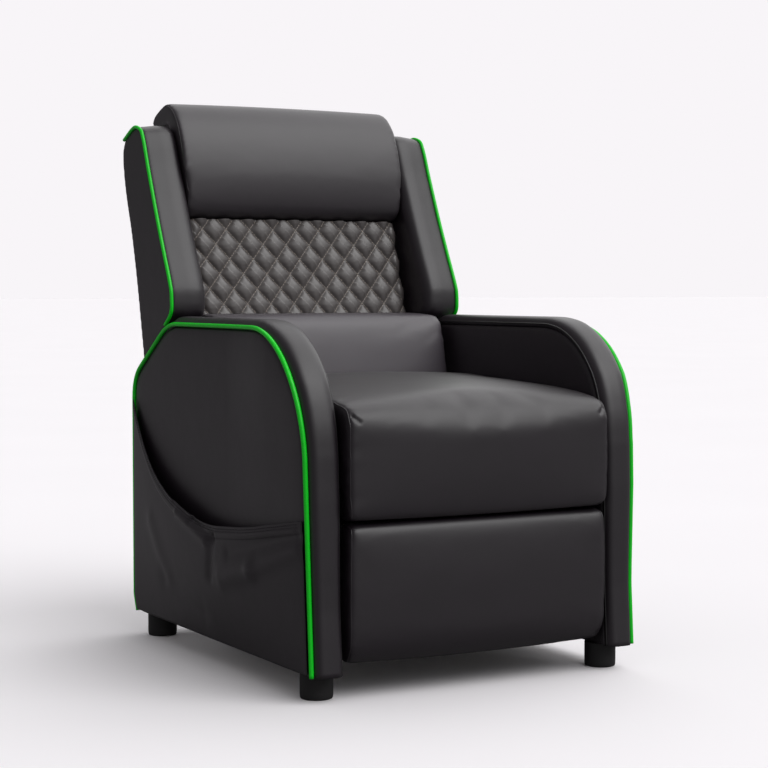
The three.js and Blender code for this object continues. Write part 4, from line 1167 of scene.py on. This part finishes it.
def back_cover_stitches(pad):
    """Top stitching round the rear cover and twice along the skirt's seam."""
    half = WING_INNER - TOUCH_GAP - BACK_SEAM
    low, high = BACK_COVER_BOTTOM + BACK_SEAM, BACK_COVER_TOP - BACK_SEAM
    corners = [(-half, low), (-half, high), (half, high), (half, low), (-half, low)]
    runs = list(zip(corners, corners[1:]))
    for off in (SKIRT_ROW, -SKIRT_ROW):
        skirt = BACK_COVER_BOTTOM + BACK_SKIRT + off
        runs.append(((-half, skirt), (half, skirt)))
    rows = []
    for start, end in runs:
        line = evenly([Vector((*start, 0)), Vector((*end, 0))], 6)
        rows.append([BACK @ Vector((point.x, CAST_FROM, point.y)) for point in line])
    return stitches("back_cover_stitches", pad, rows, -REARWARD, 0.2, 5, 2.2, 0.6, black_thread)


# The seat's springs

def seat_springs():
    """Zigzag springs of hard-drawn wire with round bends, and their tie wires."""
    low, high = (CHAIR.inverted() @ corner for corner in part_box("seat_springs"))
    height = (low.z + high.z) / 2
    start, end = low.y, high.y
    outermost = (SPRING_COUNT - 1) / 2 * SPRING_PITCH
    span = end - start - 2 * SPRING_LEAD
    bend_steps, roundness = 20, 2.4
    lines = []
    for number in range(SPRING_COUNT):
        middle = number * SPRING_PITCH - outermost
        line = [(middle, start, height), (middle, start + SPRING_LEAD / 2, height)]
        for step in range(SPRING_WAVES * bend_steps + 1):
            turn = 2 * math.pi * step / bend_steps
            sway = math.tanh(roundness * math.sin(turn)) / math.tanh(roundness)
            along = start + SPRING_LEAD + span * step / (SPRING_WAVES * bend_steps)
            line.append((middle + SPRING_SWAY * sway, along, height))
        lines.append(line + [(middle, end - SPRING_LEAD / 2, height), (middle, end, height)])
    reach = outermost + SPRING_SWAY
    for tie in (1, 2):
        along = start + (end - start) * tie / 3
        lines.append([(-reach, along, height), (reach, along, height)])
    return cords("zigzag_seat_springs", lines, SPRING_WIRE, CHAIR, spring_wire, sides=2)


# Linings over the wooden frame, where it would show beside the pads

def lining(name, sign, wrap, matrix, material):
    """A thin wrap with soft edges, between two sides and two corners of the side view."""
    bm = bmesh.new()
    bmesh.ops.create_cube(bm, size=1)
    x_low, x_high = sorted(sign * x for x in wrap[:2])
    first, last = Vector((x_low, *wrap[2])), Vector((x_high, *wrap[3]))
    for vert in bm.verts:
        share = vert.co + Vector((0.5, 0.5, 0.5))
        vert.co = first + (last - first) * share
    bmesh.ops.bevel(
        bm, geom=bm.edges, offset=0.4, segments=2, affect="EDGES", profile=0.5, material=-1,
    )
    return finished(name, bm, matrix, material, sharp=40)


# Feet

def foot(name, x, y):
    """A turned stub with a rounded rim under it."""
    bm = bmesh.new()
    height = ARM_BOTTOM - TOUCH_GAP
    profile = [
        (0, 0), (FOOT_RADIUS - 3.5, 0), (FOOT_RADIUS - 1.3, 0.8), (FOOT_RADIUS - 0.5, 2.6),
        (FOOT_RADIUS, 8), (FOOT_RADIUS, height), (0, height),
    ]
    verts = [bm.verts.new((radius, 0, up)) for radius, up in profile]
    edges = [bm.edges.new(pair) for pair in zip(verts, verts[1:])]
    bmesh.ops.spin(
        bm, geom=verts + edges, cent=(0, 0, 0), axis=(0, 0, 1), dvec=(0, 0, 0),
        angle=2 * math.pi, steps=48, use_merge=True,
    )
    bmesh.ops.remove_doubles(bm, verts=bm.verts, dist=SAME_PLACE)
    return finished(name, bm, CHAIR @ Matrix.Translation((x, y, 0)), foot_plastic, sharp=40)


# Assembly

def dressed(piece, body, hidden=None):
    """Gives a piece its body, and hides the CAD node that it stands for."""
    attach(piece, body)
    if hidden:
        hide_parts(hidden)


seat = seat_cushion()
footrest = footrest_cushion()
headrest = headrest_cushion()
lumbar = lumbar_cushion()
blow_up()
# The headrest and the lumbar cushion take the lighter copies of the leatherette, which paint light
# on them
headrest.data.materials[0] = painted_light_headrest_leather
lumbar.data.materials[0] = painted_light_lumbar_leather
puckered(seat, CHAIR, SEAT_HALF, 34, 1.8, 20, 3)
puckered(footrest, CHAIR, FOOTREST_HALF, 26, 1.2, 22, 5)
puckered(lumbar, BACK, LUMBAR_HALF, 30, 1.4, 18, 7)
creased(seat, CHAIR, [
    ((sign * x, *start), (sign * (x - run), *end), 3.5, height)
    for sign in (-1, 1) for x, start, run, end, height in SEAT_CORNER_FOLDS
])
dressed(seat, "seat", "seat_cushion")
dressed(footrest, "footrest", "footrest_cushion")
dressed(headrest, "back", "headrest")
dressed(lumbar, "back", "lumbar_cushion")

for side_name, sign in [("left", 1), ("right", -1)]:
    dressed(
        wing(f"wing_pad_{side_name}", sign), "back", f"wing_{side_name}",
    )
    for place, inside, outside, crown in [
        ("outer", ARM_BOARD_OUTER + TOUCH_GAP, ARM_OUTER - 1, 4),
        ("inner", ARM_BOARD_INNER - TOUCH_GAP, ARM_INNER + 1, -2),
    ]:
        cover = arm_side_cover(f"arm_{place}_pad_{side_name}", sign, inside, outside, crown)
        dressed(cover, "base", f"arm_{place}_cover_{side_name}")
    dressed(
        arm_top_cover(f"arm_top_pad_{side_name}", sign), "base",
        f"arm_top_cover_{side_name}",
    )
    piping = with_shoulder(trim(
        f"arm_green_piping_{side_name}", sign * ARM_OUTER, arm_edge(5), ARM_PIPING, CHAIR,
        green_vinyl,
    ))
    dressed(piping, "base", f"arm_piping_{side_name}")
    piping = trim(
        f"wing_green_piping_{side_name}", sign * WING_OUTER, wing_line(WING_EDGE), WING_PIPING,
        BACK, green_vinyl,
    )
    dressed(piping, "back", f"wing_piping_{side_name}")
    # A thin cord along the arm's inner seam, in darker leather: painted shade for the dark line of
    # shade in the seam
    welt = with_shoulder(trim(
        f"arm_inner_welt_{side_name}", sign * (ARM_INNER + 2.5), arm_line(arm_edge(7), 1),
        INNER_WELT, CHAIR, shade_painted_welt_leather,
    ))
    dressed(welt, "base")
    wrap = lining(f"back_post_wrap_{side_name}", sign, POST_WRAP, BACK, black_leather)
    dressed(wrap, "back")
    wrap = lining(f"seat_side_lining_{side_name}", sign, SEAT_WRAP, CHAIR, black_lining)
    dressed(wrap, "seat")
    for end, along in [("front", -FOOT_FRONT), ("rear", FOOT_REAR)]:
        name = f"foot_{end}_{side_name}"
        dressed(foot(f"moulded_{name}", sign * FOOT_SIDE, along), "base", name)

for name, pad, body, matrix, inset, radius in [
    ("seat_side_seams", seat, "seat", CHAIR, 3, 1.3),
    ("footrest_side_seams", footrest, "footrest", CHAIR, 3, 1.2),
    ("headrest_end_seams", headrest, "back", BACK, 2, 1.1),
    ("lumbar_side_seams", lumbar, "back", BACK, 3, 1.1),
]:
    dressed(side_seams(name, pad, matrix, inset, radius), body)

board_wrap = lining("footrest_board_wrap", 1, BOARD_WRAP, CHAIR, black_lining)
dressed(board_wrap, "footrest")

pocket = side_pocket()
dressed(pocket, "base", "side_pocket")

quilt = quilted_panel()
dressed(quilt, "back", "quilted_panel")
rear_cover = back_cover()
dressed(rear_cover, "back", "back_cover")
dressed(seat_springs(), "seat", "seat_springs")
dressed(pocket_stitches(pocket), "base")
dressed(quilt_stitches(quilt), "back")
dressed(back_cover_stitches(rear_cover), "back")

slots = {
    "black_leather": black_leather, "black_lining": black_lining, "plywood": bare_plywood,
    "black_steel": black_steel, "spring_steel": spring_wire, "black_plastic": foot_plastic,
    "green_piping": green_vinyl, "quilted_leather": quilt_leather,
}
node_slots = {part["node"]: part["material_slot"] for part in frame["record"]["subparts"]}
for name, part in frame["nodes"].items():
    part.data.materials.clear()
    part.data.materials.append(slots[node_slots[name]])


# Floor, backdrop, lights and camera

def seen_share(material, glossy_share):
    """1 for what the camera sees, also through glass, and a share of it for what gloss reflects."""
    rays = node(material, "ShaderNodeLightPath")
    seen = node(
        material, "ShaderNodeMath",
        {0: rays.outputs["Is Camera Ray"], 1: rays.outputs["Is Transmission Ray"]},
        operation="MAXIMUM",
    )
    glossy = node(
        material, "ShaderNodeMath",
        {0: rays.outputs["Is Glossy Ray"], 1: glossy_share}, operation="MULTIPLY",
    )
    both = node(
        material, "ShaderNodeMath", {0: seen.outputs[0], 1: glossy.outputs[0]}, operation="MAXIMUM",
    )
    return both.outputs[0]


def studio_floor():
    """A seamless pale studio floor, which keeps the chair's shadow and gives little light back."""
    material, place = new_material("pale_floor_paint")
    pale = colour_between(material, clouds(material, place, 900, 1), "#f3f0f3", "#f6f3f6")
    colour = node(
        material, "ShaderNodeMix",
        {"Factor": seen_share(material, 0.06), "A": linear("#605e60"), "B": pale}, data_type="RGBA",
    )
    surface(material, colour.outputs["Result"], 0.9, Specular_IOR_Level=0.1)
    bm = bmesh.new()
    bmesh.ops.create_grid(bm, x_segments=1, y_segments=1, size=120)
    finished("studio_floor", bm, Matrix.Identity(4), material)


def studio_world():
    """A pale backdrop for what looks at it, and a dimmer sky for the light it gives."""
    world = bpy.data.worlds.new("pale_studio")
    world.use_nodes = True
    bpy.context.scene.world = world
    world.node_tree.nodes.clear()
    sky = node(world, "ShaderNodeBackground", {"Color": linear("#f3f1f4"), "Strength": 0.06})
    pale = node(world, "ShaderNodeBackground", {"Color": linear("#f8f5f8"), "Strength": 1})
    mix = node(
        world, "ShaderNodeMixShader",
        {0: seen_share(world, 0.05), 1: sky.outputs[0], 2: pale.outputs[0]},
    )
    node(world, "ShaderNodeOutputWorld", {"Surface": mix.outputs[0]})


def soft_light(name, azimuth, elevation, spread, strength):
    """A large, far softbox. Its azimuth runs from the chair's front towards its +X side."""
    lamp = bpy.data.lights.new(name, "SUN")
    lamp.energy = strength * math.pi
    lamp.angle = math.radians(spread)
    light = bpy.data.objects.new(name, lamp)
    bpy.context.scene.collection.objects.link(light)
    turn, rise = math.radians(azimuth), math.radians(elevation)
    level = math.cos(rise)
    to = Vector((math.sin(turn) * level, -math.cos(turn) * level, math.sin(rise)))
    light.rotation_euler = to.to_track_quat("Z", "Y").to_euler()
    return light


def camera():
    eye = bpy.data.cameras.new("camera")
    eye.lens = 89.316
    eye.sensor_width = 36
    eye.sensor_fit = "HORIZONTAL"
    eye.clip_end = 200
    holder = bpy.data.objects.new("camera", eye)
    bpy.context.scene.collection.objects.link(holder)
    holder.location = (-1.65876, -3.10129, 0.6651)
    holder.rotation_euler = (math.pi / 2 - 0.050, 0, -0.505)
    bpy.context.scene.camera = holder


studio_floor()
studio_world()
for name, azimuth, elevation, spread, strength in [
    ("front_softbox", 28, 50, 50, 0.41), ("low_front_softbox", 0, 20, 50, 0.06),
    ("right_softbox", 70, 45, 80, 0.14), ("rear_right_softbox", 128, 42, 70, 0.31),
]:
    soft_light(name, azimuth, elevation, spread, strength)
soft_light("ceiling_fill", 0, 90, 180, 0.38).visible_glossy = False
camera()
bpy.context.scene.view_settings.view_transform = "Standard"
